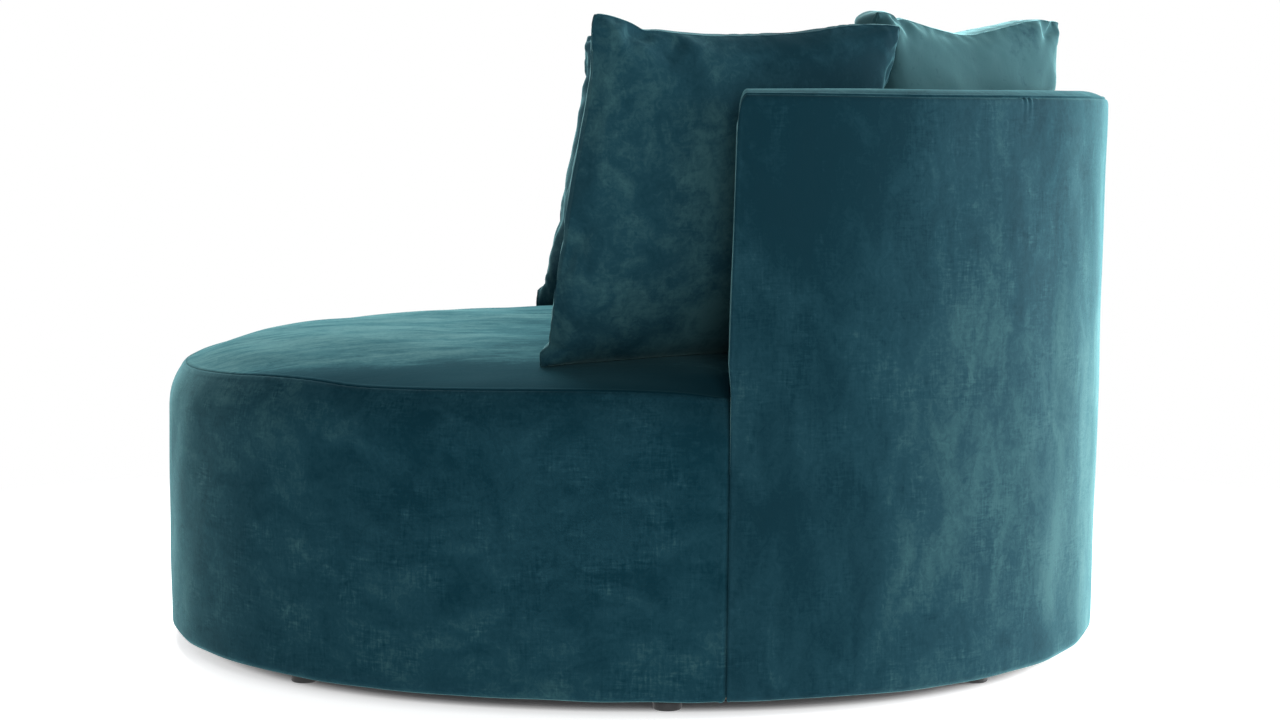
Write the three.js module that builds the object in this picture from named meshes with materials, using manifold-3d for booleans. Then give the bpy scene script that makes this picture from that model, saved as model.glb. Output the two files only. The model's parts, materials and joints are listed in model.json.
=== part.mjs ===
// A cuddle chair: a deep egg-shaped seat held in a low curved back, with three loose cushions.
// Millimetres, +Z up. The sitter faces -Y and +X is the sitter's left. The origin lies on the floor,
// under the middle of the chair's bounding box.
import * as THREE from "three";
import { mergeVertices } from "three/addons/utils/BufferGeometryUtils.js";
import Module from "manifold-3d";

const wasm = await Module();
wasm.setup();

// Plan: a superellipse whose front half reaches further than its rear half
const HALF_WIDTH = 700;
const FRONT_REACH = 708;
const REAR_REACH = 613;
const BACK_RAKE = 16;
const PLAN_POWER = 2.2;

// Heights above the floor
const UNDERSIDE = 19;
const SEAT_SHOULDER = 325;
const SEAT_SEAM = 399;
const SEAT_CROWN = 36;
const BACK_TOP = 769;

// Seat edge and back edge
const SEAM_INSET = 24;
const SHOULDER_DEPTH = 50;
const SEAT_CROWN_POWER = 5;
const BACK_THICKNESS = 76;
const BACK_FRONT_Y = 116;
const BACK_SHOULDER = 16;
const BACK_CROWN = 10;
const HEM_ROUND = 12;
const HEM_DEPTH = 28;

// Sheet and board thicknesses
const COVER = 2;
const WADDING = 8;
const SKIN = 4;
const BOARD = 18;
const GAP = 0.3;
const SEAM_PLAY = 0.9;

// Timber
const RING_WIDTH = 90;
const POST_DEPTH = 30;
const POST_WIDTH = 50;
const POST_PLAY = 2;
const SEAT_RING_TOP = 298;
const RAIL_HEIGHT = 45;
const RAIL_WIDTH = 32;
const RAIL_PLACE_SHARES = [-0.51, -0.03, 0.47];
const SKIN_LIFT = 2;
const TOP_FOAM_DEPTH = 12;

// Webbing
const WEB_WIDTH = 50;
const WEB_THICKNESS = 2;
const WEB_PITCH = 150;
const WEB_END_PLAY = 2;

// Seat foam
const CORE_THICKNESS = 24;
const FOAM_EDGE_ROUND = 20;

// Feet
const FOOT_RADIUS = 19;
const FOOT_EDGE = 2;
const FOOT_INSET = 62;
const SPIGOT_RADIUS = 6;
const SPIGOT_LENGTH = 14;
const FOOT_COUNT = 8;
const FOOT_HOLE_PLAY = 1;
const DUST_COVER = 1.3;
const DUST_COVER_INSET = 22;

// Loose cushions
const CUSHION_SIZE = 462;
const CUSHION_DEPTH = 160;
const CUSHION_COVER_EDGE = 18;
const CUSHION_REST = 0.5;
const SIDE_DRAW_SHARE = 0.11;

// Cushion zips, hidden in a slot of the bottom seam
const ZIP_LENGTH = 360;
const ZIP_SLOT = 6;
const ZIP_TAPE_HEIGHT = 6;
const SLIDER_LENGTH = 20;
const SLIDER_HEIGHT = 8;
const SLIDER_END_PLAY = 1;

// How finely the round shapes are cut
const FRONT_STEPS = 24;
const BACK_STEPS = 24;
const ARC_STEPS = 3;
const CUSHION_STEPS = 10;
const FOOT_SIDES = 16;
const POST_COUNT = 4;
const UPRIGHT_COUNT = 7;
const SEAT_RING_SHARES = [0.9, 0.7, 0.4];
const OVERRUN = 5;
const MERGE_REACH = 1e-4;

// How the materials take the light
const METAL_ROUGHNESS = 0.35;
const CLOTH_ROUGHNESS = 0.9;

// Places worked out from the sizes above
const WIDEST_Y = (FRONT_REACH - REAR_REACH - BACK_RAKE) / 2;
const HEM_TOP = UNDERSIDE + COVER;
const RING_BOTTOM = HEM_TOP + GAP;
const RING_TOP = RING_BOTTOM + BOARD;
const FOAM_BOTTOM = UNDERSIDE + HEM_ROUND + GAP;
const SKIN_BOTTOM = RING_BOTTOM + SKIN_LIFT;
const WADDING_INSET = COVER + GAP;
const SKIN_INSET = WADDING_INSET + WADDING + GAP;
const FRAME_INSET = SKIN_INSET + SKIN + GAP;
const POST_INSET = FRAME_INSET + POST_PLAY;
const INNER_SKIN_INSET = POST_INSET + POST_DEPTH + POST_PLAY;
const INNER_FOAM_INSET = INNER_SKIN_INSET + SKIN + GAP;
const INNER_COVER_INSET = BACK_THICKNESS - COVER;
const SEAT_WALL_INSET = BACK_THICKNESS + GAP;
const WEB_END_INSET = SEAT_WALL_INSET + WEB_END_PLAY;
const PLATFORM = SEAT_RING_TOP + GAP + WEB_THICKNESS + GAP;
const CORE_TOP = PLATFORM + CORE_THICKNESS;
const TOPPER_DEPTH = SKIN_INSET;
const BACK_SEAM_TURN = Math.PI / 3;
const BACK_SHOULDER_Z = BACK_TOP - BACK_CROWN - BACK_SHOULDER * Math.sin(BACK_SEAM_TURN);
const SKIN_TOP = BACK_SHOULDER_Z - TOP_FOAM_DEPTH;
const SEAM_TURN = Math.acos(1 - SEAM_INSET / SHOULDER_DEPTH);
const SHOULDER_HEIGHT = (SEAT_SEAM - SEAT_SHOULDER) / Math.sin(SEAM_TURN);

// The turn, measured from straight behind, at which the back ends
const END_TURN = Math.acos(((BACK_FRONT_Y - WIDEST_Y) / REAR_REACH) ** (PLAN_POWER / 2));
const GAP_TURN = GAP / HALF_WIDTH;
const SEAM_PLAY_TURN = SEAM_PLAY / HALF_WIDTH;
const FACING_TURN = COVER / HALF_WIDTH;

const colours = {
  velvet: "#1c5059",
  foam: "#e3d9b4",
  wadding: "#efefe9",
  plywood: "#c79e6b",
  webbing: "#5b4a3a",
  plastic: "#15171a",
  metal: "#9aa0a4",
  lining: "#26282a",
};

// A material of its own for one piece
function finish(kind) {
  const metal = kind === "metal";
  return new THREE.MeshStandardMaterial({
    color: colours[kind],
    roughness: metal ? METAL_ROUGHNESS : CLOTH_ROUGHNESS,
    metalness: metal ? 1 : 0,
  });
}

// The same point, moved back as far as the rake of the back carries it
function raked(x, y, z) {
  const behind = Math.max(0, y - WIDEST_Y) / REAR_REACH;
  return new THREE.Vector3(x, y + (BACK_RAKE * behind * z) / BACK_TOP, z);
}

// A point of the plan drawn in by inset and shrunk to a share, at a turn from straight behind
function planPoint(turn, inset, z, share = 1) {
  const sine = Math.sin(turn);
  const cosine = Math.cos(turn);
  const across = Math.sign(sine) * Math.abs(sine) ** (2 / PLAN_POWER);
  const along = Math.sign(cosine) * Math.abs(cosine) ** (2 / PLAN_POWER);
  const reach = (cosine < 0 ? FRONT_REACH : REAR_REACH) - inset;
  return raked((HALF_WIDTH - inset) * across * share, WIDEST_Y + reach * along * share, z);
}

// The height of the seat's surface over a point of the plan
function seatHeight(x, y) {
  const reach = (y < WIDEST_Y ? FRONT_REACH : REAR_REACH) - SEAM_INSET;
  const across = Math.abs(x / (HALF_WIDTH - SEAM_INSET)) ** PLAN_POWER;
  const along = Math.abs((y - WIDEST_Y) / reach) ** PLAN_POWER;
  const share = Math.min(1, (across + along) ** (1 / PLAN_POWER));
  return SEAT_SEAM + SEAT_CROWN * (1 - share ** SEAT_CROWN_POWER);
}

// Half the plan's width at a place from front to back
function halfWidthAt(y, inset) {
  const reach = (y < WIDEST_Y ? FRONT_REACH : REAR_REACH) - inset;
  const along = Math.min(1, Math.abs((y - WIDEST_Y) / reach)) ** PLAN_POWER;
  return (HALF_WIDTH - inset) * (1 - along) ** (1 / PLAN_POWER);
}

// The plan's reach from front to back at a place across, as [front y, rear y]
function reachAt(x, inset) {
  const across = Math.min(1, Math.abs(x / (HALF_WIDTH - inset))) ** PLAN_POWER;
  const share = (1 - across) ** (1 / PLAN_POWER);
  return [WIDEST_Y - (FRONT_REACH - inset) * share, WIDEST_Y + (REAR_REACH - inset) * share];
}

// Evenly spaced numbers from one value to another, both ends kept
function spread(from, to, steps) {
  return Array.from({ length: steps + 1 }, (_, step) => from + ((to - from) * step) / steps);
}

const frontStart = END_TURN + SEAM_PLAY_TURN;
const frontTurns = spread(frontStart, 2 * Math.PI - frontStart, FRONT_STEPS);
const backTurns = spread(-END_TURN, END_TURN, BACK_STEPS);
const backInnerEnd = END_TURN - FACING_TURN - GAP_TURN;
const backInnerTurns = [-backInnerEnd, ...backTurns.slice(1, -1), backInnerEnd];
const loopTurns = [...backTurns, ...frontTurns.slice(1, -1)];

// A geometry from points and triangles, turned so that its faces point out
function closedBody(points, triangles) {
  const raw = new THREE.BufferGeometry();
  const flat = points.flatMap((point) => point.toArray());
  raw.setAttribute("position", new THREE.Float32BufferAttribute(flat, 3));
  raw.setIndex(triangles.flat());
  const merged = mergeVertices(raw, MERGE_REACH);
  const place = merged.getAttribute("position");
  const index = Array.from(merged.index.array);
  const corner = (k) => new THREE.Vector3().fromBufferAttribute(place, index[k]);
  const kept = [];
  let volume = 0;
  for (let k = 0; k < index.length; k += 3) {
    const [a, b, c] = index.slice(k, k + 3);
    if (a === b || b === c || c === a) continue;
    volume += corner(k).dot(corner(k + 1).cross(corner(k + 2)));
    kept.push([a, b, c]);
  }
  merged.setIndex(kept.map((face) => (volume < 0 ? face.toReversed() : face)).flat());
  return merged;
}

// The two triangles of a quad
function quad(a, b, c, d) {
  return [[a, b, c], [a, c, d]];
}

// A closed section of [inset, height] points, carried round the plan through the given turns
function sweep(section, turns, isLoop = false) {
  const count = section.length;
  const rows = turns.length;
  const points = turns.flatMap((turn) => section.map(([inset, z]) => planPoint(turn, inset, z)));
  const triangles = [];
  for (let row = 0; row < (isLoop ? rows : rows - 1); row++) {
    const next = (row + 1) % rows;
    for (let k = 0; k < count; k++) {
      const after = (k + 1) % count;
      const corners = [row * count + k, row * count + after, next * count + after, next * count + k];
      // Every upright face is split along the rising diagonal, so that nested pieces stay parallel
      if (section[k][1] > section[after][1]) corners.push(corners.shift());
      triangles.push(...quad(...corners));
    }
  }
  if (!isLoop) {
    const outline = section.map(([inset, z]) => new THREE.Vector2(inset, z));
    const cap = THREE.ShapeUtils.triangulateShape(outline, []);
    const isClockWise = THREE.ShapeUtils.isClockWise(outline);
    const last = (rows - 1) * count;
    for (const face of cap) {
      const [a, b, c] = isClockWise ? face.toReversed() : face;
      triangles.push([c, b, a], [last + a, last + b, last + c]);
    }
  }
  return closedBody(points, triangles);
}

// A rectangle of the section plane
function block(outerInset, innerInset, bottom, top) {
  return [[outerInset, bottom], [innerInset, bottom], [innerInset, top], [outerInset, top]];
}

// A body closed by a pole at each end, skinned over rings with as many points each
function ringStack(firstPole, rings, lastPole) {
  const count = rings[0].length;
  const points = [...rings.flat(), firstPole, lastPole];
  const first = points.length - 2;
  const last = points.length - 1;
  const lastRing = (rings.length - 1) * count;
  const triangles = [];
  for (let k = 0; k < count; k++) {
    const after = (k + 1) % count;
    triangles.push([first, after, k], [last, lastRing + k, lastRing + after]);
    for (let ring = 0; ring < rings.length - 1; ring++) {
      const here = ring * count;
      const below = here + count;
      triangles.push(...quad(here + k, here + after, below + after, below + k));
    }
  }
  return closedBody(points, triangles);
}

function toManifold(geometry) {
  const bare = new THREE.BufferGeometry();
  bare.setAttribute("position", geometry.getAttribute("position").clone());
  if (geometry.index) bare.setIndex(geometry.index.clone());
  const merged = mergeVertices(bare, MERGE_REACH);
  const vertProperties = new Float32Array(merged.getAttribute("position").array);
  const triVerts = new Uint32Array(merged.index.array);
  return new wasm.Manifold(new wasm.Mesh({ numProp: 3, vertProperties, triVerts }));
}

function fromManifold(made) {
  const mesh = made.getMesh();
  const geometry = new THREE.BufferGeometry();
  geometry.setAttribute("position", new THREE.Float32BufferAttribute(mesh.vertProperties, 3));
  geometry.setIndex(Array.from(mesh.triVerts));
  return geometry;
}

// One geometry less the others
function cut(geometry, cutters) {
  const whole = toManifold(geometry);
  return fromManifold(cutters.reduce((left, cutter) => left.subtract(toManifold(cutter)), whole));
}

// The geometries joined into one
function join(geometries) {
  return fromManifold(geometries.map(toManifold).reduce((whole, piece) => whole.add(piece)));
}

// A box between two corners
function boxBetween([x0, y0, z0], [x1, y1, z1]) {
  const box = new THREE.BoxGeometry(x1 - x0, y1 - y0, z1 - z0);
  return box.translate((x0 + x1) / 2, (y0 + y1) / 2, (z0 + z1) / 2);
}

// An upright cylinder on a centre
function rod(radius, centre, bottom, top, sides) {
  const cylinder = new THREE.CylinderGeometry(radius, radius, top - bottom, sides);
  return cylinder.rotateX(Math.PI / 2).translate(centre.x, centre.y, (bottom + top) / 2);
}

const group = new THREE.Group();

function add(name, geometry, kind, parent = group) {
  const mesh = new THREE.Mesh(geometry, finish(kind));
  mesh.name = name;
  parent.add(mesh);
  return mesh;
}

// The seat border's outline from its shoulder to its seam, drawn in by depth
function shoulderPoints(depth) {
  return spread(0, SEAM_TURN, 2 * ARC_STEPS).map((turn) => [
    SHOULDER_DEPTH - (SHOULDER_DEPTH - depth) * Math.cos(turn),
    SEAT_SHOULDER + (SHOULDER_HEIGHT - depth) * Math.sin(turn),
  ]);
}

// The round hem under the body, from its inner edge out to the upright face, drawn in by depth
function hemPoints(depth) {
  const radius = HEM_ROUND - depth;
  const centre = UNDERSIDE + HEM_ROUND;
  const arc = spread(Math.PI / 2, 0, ARC_STEPS).map((turn) => [
    HEM_ROUND - radius * Math.cos(turn),
    centre - radius * Math.sin(turn),
  ]);
  return [[HEM_DEPTH, UNDERSIDE + depth], ...arc];
}

// One shoulder of the back's top, from the upright face to the seam, drawn in by depth
function backShoulder(depth) {
  return spread(0, BACK_SEAM_TURN, ARC_STEPS).map((turn) => [
    BACK_SHOULDER - (BACK_SHOULDER - depth) * Math.cos(turn),
    BACK_SHOULDER_Z + (BACK_SHOULDER - depth) * Math.sin(turn),
  ]);
}

// The same shoulder on the inner face of the back
function backInnerShoulder(depth) {
  return backShoulder(depth).map(([inset, z]) => [BACK_THICKNESS - inset, z]);
}

// The crown of the back's top between its two seams, drawn in by depth, short of each seam by a gap
function backCrown(depth, gap) {
  const [seamInset, seamZ] = backShoulder(depth).at(-1);
  const middle = BACK_THICKNESS / 2;
  const half = middle - seamInset - gap;
  const rise = BACK_TOP - depth - seamZ;
  return spread(-1, 1, 2 * ARC_STEPS).map((share) => [
    middle + half * share,
    seamZ + rise * (1 - share ** 2),
  ]);
}

// Between two outlines that run the same way, as one closed section
function between(outer, inner) {
  return [...outer, ...inner.toReversed()];
}

// The frame

const footPlaces = Array.from({ length: FOOT_COUNT }, (_, k) =>
  planPoint((2 * Math.PI * k) / FOOT_COUNT, FOOT_INSET, 0),
);

// The turns at which a post starts and ends
function postTurns(turn, play) {
  const half = (POST_WIDTH / 2 + play) / HALF_WIDTH;
  return [turn - half, turn + half];
}

function postAt(turn, bottom, top) {
  return sweep(block(POST_INSET, POST_INSET + POST_DEPTH, bottom, top), postTurns(turn, 0));
}

// The middles of equal stretches from one turn to another
function middles(from, to, count) {
  return spread(from, to, 2 * count).filter((_, k) => k % 2 === 1);
}

const uprightTurns = middles(-END_TURN, END_TURN, UPRIGHT_COUNT);
const frontPostTurns = middles(END_TURN, 2 * Math.PI - END_TURN, POST_COUNT);

function addRings() {
  const section = block(FRAME_INSET, FRAME_INSET + RING_WIDTH, RING_BOTTOM, RING_TOP);
  const spigotHoles = footPlaces.map((place) =>
    rod(SPIGOT_RADIUS + GAP, place, RING_BOTTOM - OVERRUN, RING_BOTTOM + SPIGOT_LENGTH + GAP, FOOT_SIDES),
  );
  add("bottom_ring", cut(sweep(section, loopTurns, true), spigotHoles), "plywood");

  const seatRingBottom = SEAT_RING_TOP - BOARD;
  const seatSection = block(FRAME_INSET, FRAME_INSET + RING_WIDTH, seatRingBottom, SEAT_RING_TOP);
  const housing = block(
    FRAME_INSET - OVERRUN,
    POST_INSET + POST_DEPTH + GAP,
    seatRingBottom - OVERRUN,
    SEAT_RING_TOP + OVERRUN,
  );
  const housings = uprightTurns.map((turn) => sweep(housing, postTurns(turn, GAP)));
  add("seat_ring", cut(sweep(seatSection, loopTurns, true), housings), "plywood");
}

function addTimbers() {
  const seatRingBottom = SEAT_RING_TOP - BOARD;
  frontPostTurns.forEach((turn, k) => {
    add(`front_post_${k + 1}`, postAt(turn, RING_TOP + GAP, seatRingBottom - GAP), "plywood");
  });
  uprightTurns.forEach((turn, k) => {
    add(`back_upright_${k + 1}`, postAt(turn, RING_TOP + GAP, SKIN_TOP - BOARD - GAP), "plywood");
  });
  RAIL_PLACE_SHARES.forEach((share, k) => {
    const y = WIDEST_Y + share * (share < 0 ? FRONT_REACH : REAR_REACH);
    const [front, rear] = [y - RAIL_WIDTH / 2, y + RAIL_WIDTH / 2];
    const half = Math.min(halfWidthAt(front, INNER_SKIN_INSET), halfWidthAt(rear, INNER_SKIN_INSET));
    const low = [-half, front, RING_TOP + GAP];
    const high = [half, rear, RING_TOP + GAP + RAIL_HEIGHT];
    add(`bottom_rail_${k + 1}`, boxBetween(low, high), "plywood");
  });
  const topRail = block(FRAME_INSET, INNER_SKIN_INSET - GAP, SKIN_TOP - BOARD, SKIN_TOP);
  add("back_top_rail", sweep(topRail, backInnerTurns), "plywood");
}

function addSkins() {
  const front = block(SKIN_INSET, SKIN_INSET + SKIN, SKIN_BOTTOM, SEAT_RING_TOP);
  add("front_skin", sweep(front, frontTurns), "plywood");
  const outer = block(SKIN_INSET, SKIN_INSET + SKIN, SKIN_BOTTOM, SKIN_TOP);
  add("back_outer_skin", sweep(outer, backInnerTurns), "plywood");
  const inner = block(INNER_SKIN_INSET, INNER_SKIN_INSET + SKIN, SEAT_RING_TOP + GAP, SKIN_TOP);
  add("back_inner_skin", sweep(inner, backInnerTurns), "plywood");
}

// Straps in both directions, joined where they cross into one flat net on the seat ring
function addWebbing() {
  const bottom = SEAT_RING_TOP + GAP;
  const top = bottom + WEB_THICKNESS;
  const half = WEB_WIDTH / 2;
  const straps = [];
  const sideSteps = Math.floor((HALF_WIDTH - WEB_END_INSET) / WEB_PITCH) - 1;
  for (let step = -sideSteps; step <= sideSteps; step++) {
    const x = step * WEB_PITCH;
    const [front, rear] = reachAt(Math.abs(x) + half, WEB_END_INSET);
    straps.push(boxBetween([x - half, front, bottom], [x + half, rear, top]));
  }
  const [, rearMost] = reachAt(0, WEB_END_INSET);
  const [frontMost] = reachAt(0, WEB_END_INSET);
  const middle = (frontMost + rearMost) / 2;
  const alongSteps = Math.floor((rearMost - frontMost) / 2 / WEB_PITCH) - 1;
  for (let step = -alongSteps; step <= alongSteps; step++) {
    const y = middle + step * WEB_PITCH;
    const reach = Math.min(halfWidthAt(y - half, WEB_END_INSET), halfWidthAt(y + half, WEB_END_INSET));
    straps.push(boxBetween([-reach, y - half, bottom], [reach, y + half, top]));
  }
  add("seat_webbing", join(straps), "webbing");
}

// Foam and covers of the seat

// The stations round the seat pieces: in the open front they reach the border, in the back its inner face
const seatBackTurns = [-frontStart, ...backTurns.slice(1, -1), frontStart];
const seatStations = [
  ...frontTurns.map((turn) => ({ turn, isFront: true })),
  ...seatBackTurns.map((turn) => ({ turn, isFront: false })),
];

// A ring of the seat foam's rounded edge at one turn of its shoulder
function foamEdgeRing(shoulderTurn) {
  return seatStations.map(({ turn, isFront }) => {
    if (isFront) {
      const inset = SHOULDER_DEPTH - (SHOULDER_DEPTH - TOPPER_DEPTH) * Math.cos(shoulderTurn);
      const z = SEAT_SHOULDER + GAP + (SHOULDER_HEIGHT - TOPPER_DEPTH - GAP) * Math.sin(shoulderTurn);
      return planPoint(turn, inset, z);
    }
    const edge = planPoint(turn, SEAT_WALL_INSET, 0);
    const top = seatHeight(edge.x, edge.y) - WADDING_INSET;
    const inset = SEAT_WALL_INSET + FOAM_EDGE_ROUND * (1 - Math.cos(shoulderTurn));
    return planPoint(turn, inset, top - FOAM_EDGE_ROUND * (1 - Math.sin(shoulderTurn)));
  });
}

// A ring of the seat's surface, sunk by depth, at a share of the way from the middle to the seam
function surfaceRing(share, depth) {
  return seatStations.map(({ turn }) => {
    const flat = planPoint(turn, SEAM_INSET, 0, share);
    return raked(flat.x, flat.y, seatHeight(flat.x, flat.y) - depth);
  });
}

// The outer edge of the seat's top cover: the seam in front, the inner face of the back behind
function coverEdgeRing(depth) {
  return seatStations.map(({ turn, isFront }) => {
    const flat = planPoint(turn, isFront ? SEAM_INSET + SEAM_PLAY + GAP : SEAT_WALL_INSET, 0);
    return raked(flat.x, flat.y, seatHeight(flat.x, flat.y) - depth);
  });
}

function seatMiddle(z) {
  return new THREE.Vector3(0, WIDEST_Y, z);
}

// The plan outline of a seat piece at one height
function seatOutline(frontInset, z) {
  return seatStations.map(({ turn, isFront }) => planPoint(turn, isFront ? frontInset : SEAT_WALL_INSET, z));
}

function addSeat() {
  const coreRings = [seatOutline(TOPPER_DEPTH, CORE_TOP), seatOutline(TOPPER_DEPTH, PLATFORM)];
  add("seat_core", ringStack(seatMiddle(CORE_TOP), coreRings, seatMiddle(PLATFORM)), "foam");

  const crown = seatHeight(0, WIDEST_Y);
  const inner = SEAT_RING_SHARES.toReversed().map((share) => surfaceRing(share, WADDING_INSET));
  const edge = spread(SEAM_TURN, 0, ARC_STEPS).map(foamEdgeRing);
  const base = seatOutline(TOPPER_DEPTH, CORE_TOP + GAP);
  const peak = seatMiddle(crown - WADDING_INSET);
  const topper = ringStack(peak, [...inner, ...edge, base], seatMiddle(CORE_TOP + GAP));
  add("seat_topper", topper, "wadding");

  const upper = [
    ...SEAT_RING_SHARES.toReversed().map((share) => surfaceRing(share, 0)),
    coverEdgeRing(0),
  ];
  const under = [coverEdgeRing(COVER), ...SEAT_RING_SHARES.map((share) => surfaceRing(share, COVER))];
  const cover = ringStack(seatMiddle(crown), [...upper, ...under], seatMiddle(crown - COVER));
  return add("seat_top_cover", cover, "velvet");
}

function addBorder() {
  const wadding = between(
    [[WADDING_INSET, FOAM_BOTTOM], ...shoulderPoints(WADDING_INSET)],
    [[WADDING_INSET + WADDING, FOAM_BOTTOM], ...shoulderPoints(WADDING_INSET + WADDING)],
  );
  add("border_foam", sweep(wadding, frontTurns), "wadding");
  const outerFace = [...hemPoints(0), ...shoulderPoints(0)];
  const innerFace = [...hemPoints(COVER), ...shoulderPoints(COVER)];
  add("seat_border_cover", sweep(between(outerFace, innerFace), frontTurns), "velvet");
}

// Foam and covers of the back

function addBack() {
  const outerFoam = block(WADDING_INSET, WADDING_INSET + WADDING, FOAM_BOTTOM, SKIN_TOP);
  add("back_outer_foam", sweep(outerFoam, backInnerTurns), "foam");
  const innerFoam = block(INNER_FOAM_INSET, INNER_COVER_INSET - GAP, SEAT_RING_TOP + GAP, SKIN_TOP);
  add("back_inner_foam", sweep(innerFoam, backInnerTurns), "foam");
  const topFoam = [
    [WADDING_INSET, SKIN_TOP + GAP],
    ...backShoulder(WADDING_INSET),
    ...backCrown(WADDING_INSET, GAP),
    ...backInnerShoulder(WADDING_INSET).toReversed(),
    [BACK_THICKNESS - WADDING_INSET, SKIN_TOP + GAP],
  ];
  add("back_top_foam", sweep(topFoam, backInnerTurns), "foam");

  const outer = between(
    [...hemPoints(0), ...backShoulder(0)],
    [...hemPoints(COVER), ...backShoulder(COVER)],
  );
  add("back_outer_cover", sweep(outer, backTurns), "velvet");
  const innerBottom = SEAT_RING_TOP + GAP;
  const inner = between(
    [[BACK_THICKNESS, innerBottom], ...backInnerShoulder(0)],
    [[INNER_COVER_INSET, innerBottom], ...backInnerShoulder(COVER)],
  );
  add("back_inner_cover", sweep(inner, backInnerTurns), "velvet");
  const top = between(backCrown(0, GAP), backCrown(COVER, GAP));
  add("back_top_cover", sweep(top, backInnerTurns), "velvet");
}

// The velvet strip that closes each front end of the back, over the ends of its foam and boards
function addFacings() {
  const outerInset = COVER + SEAM_PLAY;
  const section = [
    [outerInset, PLATFORM],
    ...backShoulder(outerInset),
    ...backCrown(0, GAP),
    ...backInnerShoulder(0).toReversed(),
    [BACK_THICKNESS, PLATFORM],
  ];
  add("back_facing_left", sweep(section, [END_TURN - FACING_TURN, END_TURN]), "velvet");
  add("back_facing_right", sweep(section, [-END_TURN, FACING_TURN - END_TURN]), "velvet");
}

function addUnderside() {
  const top = UNDERSIDE - GAP;
  const bottom = top - DUST_COVER;
  const outline = (z) => loopTurns.map((turn) => planPoint(turn, DUST_COVER_INSET, z));
  const sheet = ringStack(seatMiddle(top), [outline(top), outline(bottom)], seatMiddle(bottom));
  const holes = footPlaces.map((place) =>
    rod(FOOT_RADIUS + FOOT_HOLE_PLAY, place, bottom - OVERRUN, top + OVERRUN, FOOT_SIDES),
  );
  add("dust_cover", cut(sheet, holes), "lining");

  const height = RING_BOTTOM - GAP;
  const profile = [
    [0, 0],
    [FOOT_RADIUS - FOOT_EDGE, 0],
    [FOOT_RADIUS, FOOT_EDGE],
    [FOOT_RADIUS, height],
    [SPIGOT_RADIUS, height],
    [SPIGOT_RADIUS, height + SPIGOT_LENGTH],
    [0, height + SPIGOT_LENGTH],
  ].map(([radius, z]) => new THREE.Vector2(radius, z));
  footPlaces.forEach((place, k) => {
    const turned = new THREE.LatheGeometry(profile, FOOT_SIDES).rotateX(Math.PI / 2);
    const foot = add(`foot_${k + 1}`, closedFromGeometry(turned), "plastic");
    foot.position.set(place.x, place.y, 0);
  });
}

// A geometry of the library as a merged body facing out
function closedFromGeometry(geometry) {
  const place = geometry.getAttribute("position");
  const pointAt = (k) => new THREE.Vector3().fromBufferAttribute(place, k);
  const points = Array.from({ length: place.count }, (_, k) => pointAt(k));
  const index = Array.from(geometry.index.array);
  const triangles = Array.from({ length: index.length / 3 }, (_, k) => index.slice(3 * k, 3 * k + 3));
  return closedBody(points, triangles);
}

// Cushions

// A knife-edged cushion form with a crown and drawn-in sides; width along X, front towards -Y
function cushionForm(half, depth) {
  const angles = spread(-Math.PI / 2, Math.PI / 2, CUSHION_STEPS);
  const row = angles.length;
  const points = [-1, 1].flatMap((side) =>
    angles.flatMap((rise) =>
      angles.map((turn) => {
        const u = Math.sin(turn);
        const v = Math.sin(rise);
        const topDraw = v > 0 ? SIDE_DRAW_SHARE : 0;
        const x = half * u * (1 - SIDE_DRAW_SHARE * (1 - v ** 2));
        const z = half * v * (1 - topDraw * (1 - u ** 2));
        return new THREE.Vector3(x, (side * depth * Math.cos(turn) * Math.cos(rise)) / 2, z);
      }),
    ),
  );
  const triangles = [];
  for (const side of [0, 1]) {
    for (let j = 0; j < CUSHION_STEPS; j++) {
      for (let i = 0; i < CUSHION_STEPS; i++) {
        const a = side * row * row + j * row + i;
        const faces = quad(a, a + 1, a + row + 1, a + row);
        triangles.push(...(side ? faces.map((face) => face.toReversed()) : faces));
      }
    }
  }
  return closedBody(points, triangles);
}

// Where each cushion stands: how far round the back, how far it stands off the inner face as a share of
// its own depth, which way it faces, and how far it leans back and rolls over, in degrees
const cushionPlaces = [
  { side: "left", turnShare: 0.971, standoffShare: 0.02, facing: -59.7, lean: 18.2, roll: 1.1 },
  { side: "back", turnShare: 0.1926, standoffShare: 0.29, facing: -39, lean: 18.9, roll: 0 },
  { side: "right", turnShare: -1.018, standoffShare: -0.045, facing: 60.5, lean: 20.5, roll: 0.6 },
];

// The middle of a cushion that leans on the inner face of the back, seen from above
function cushionMiddle({ turnShare, standoffShare, lean }) {
  const tilt = THREE.MathUtils.degToRad(lean);
  const middleHeight = SEAT_SEAM + SEAT_CROWN + (CUSHION_SIZE / 2) * Math.cos(tilt);
  const leanReach = Math.tan(tilt) * (BACK_SHOULDER_Z - middleHeight);
  const inset = BACK_THICKNESS + CUSHION_DEPTH / 2 + leanReach + CUSHION_DEPTH * standoffShare;
  return planPoint(END_TURN * turnShare, inset, 0);
}

// The drop that brings a cushion's lowest point down onto the seat, less the rest gap
function dropTo(seat, form, pose) {
  const ray = new THREE.Raycaster();
  const place = form.getAttribute("position");
  const down = new THREE.Vector3(0, 0, -1);
  let least = Infinity;
  for (let k = 0; k < place.count; k++) {
    const start = new THREE.Vector3().fromBufferAttribute(place, k).applyMatrix4(pose);
    ray.set(start, down);
    const [hit] = ray.intersectObject(seat);
    if (hit) least = Math.min(least, hit.distance);
  }
  return least - CUSHION_REST;
}

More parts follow.
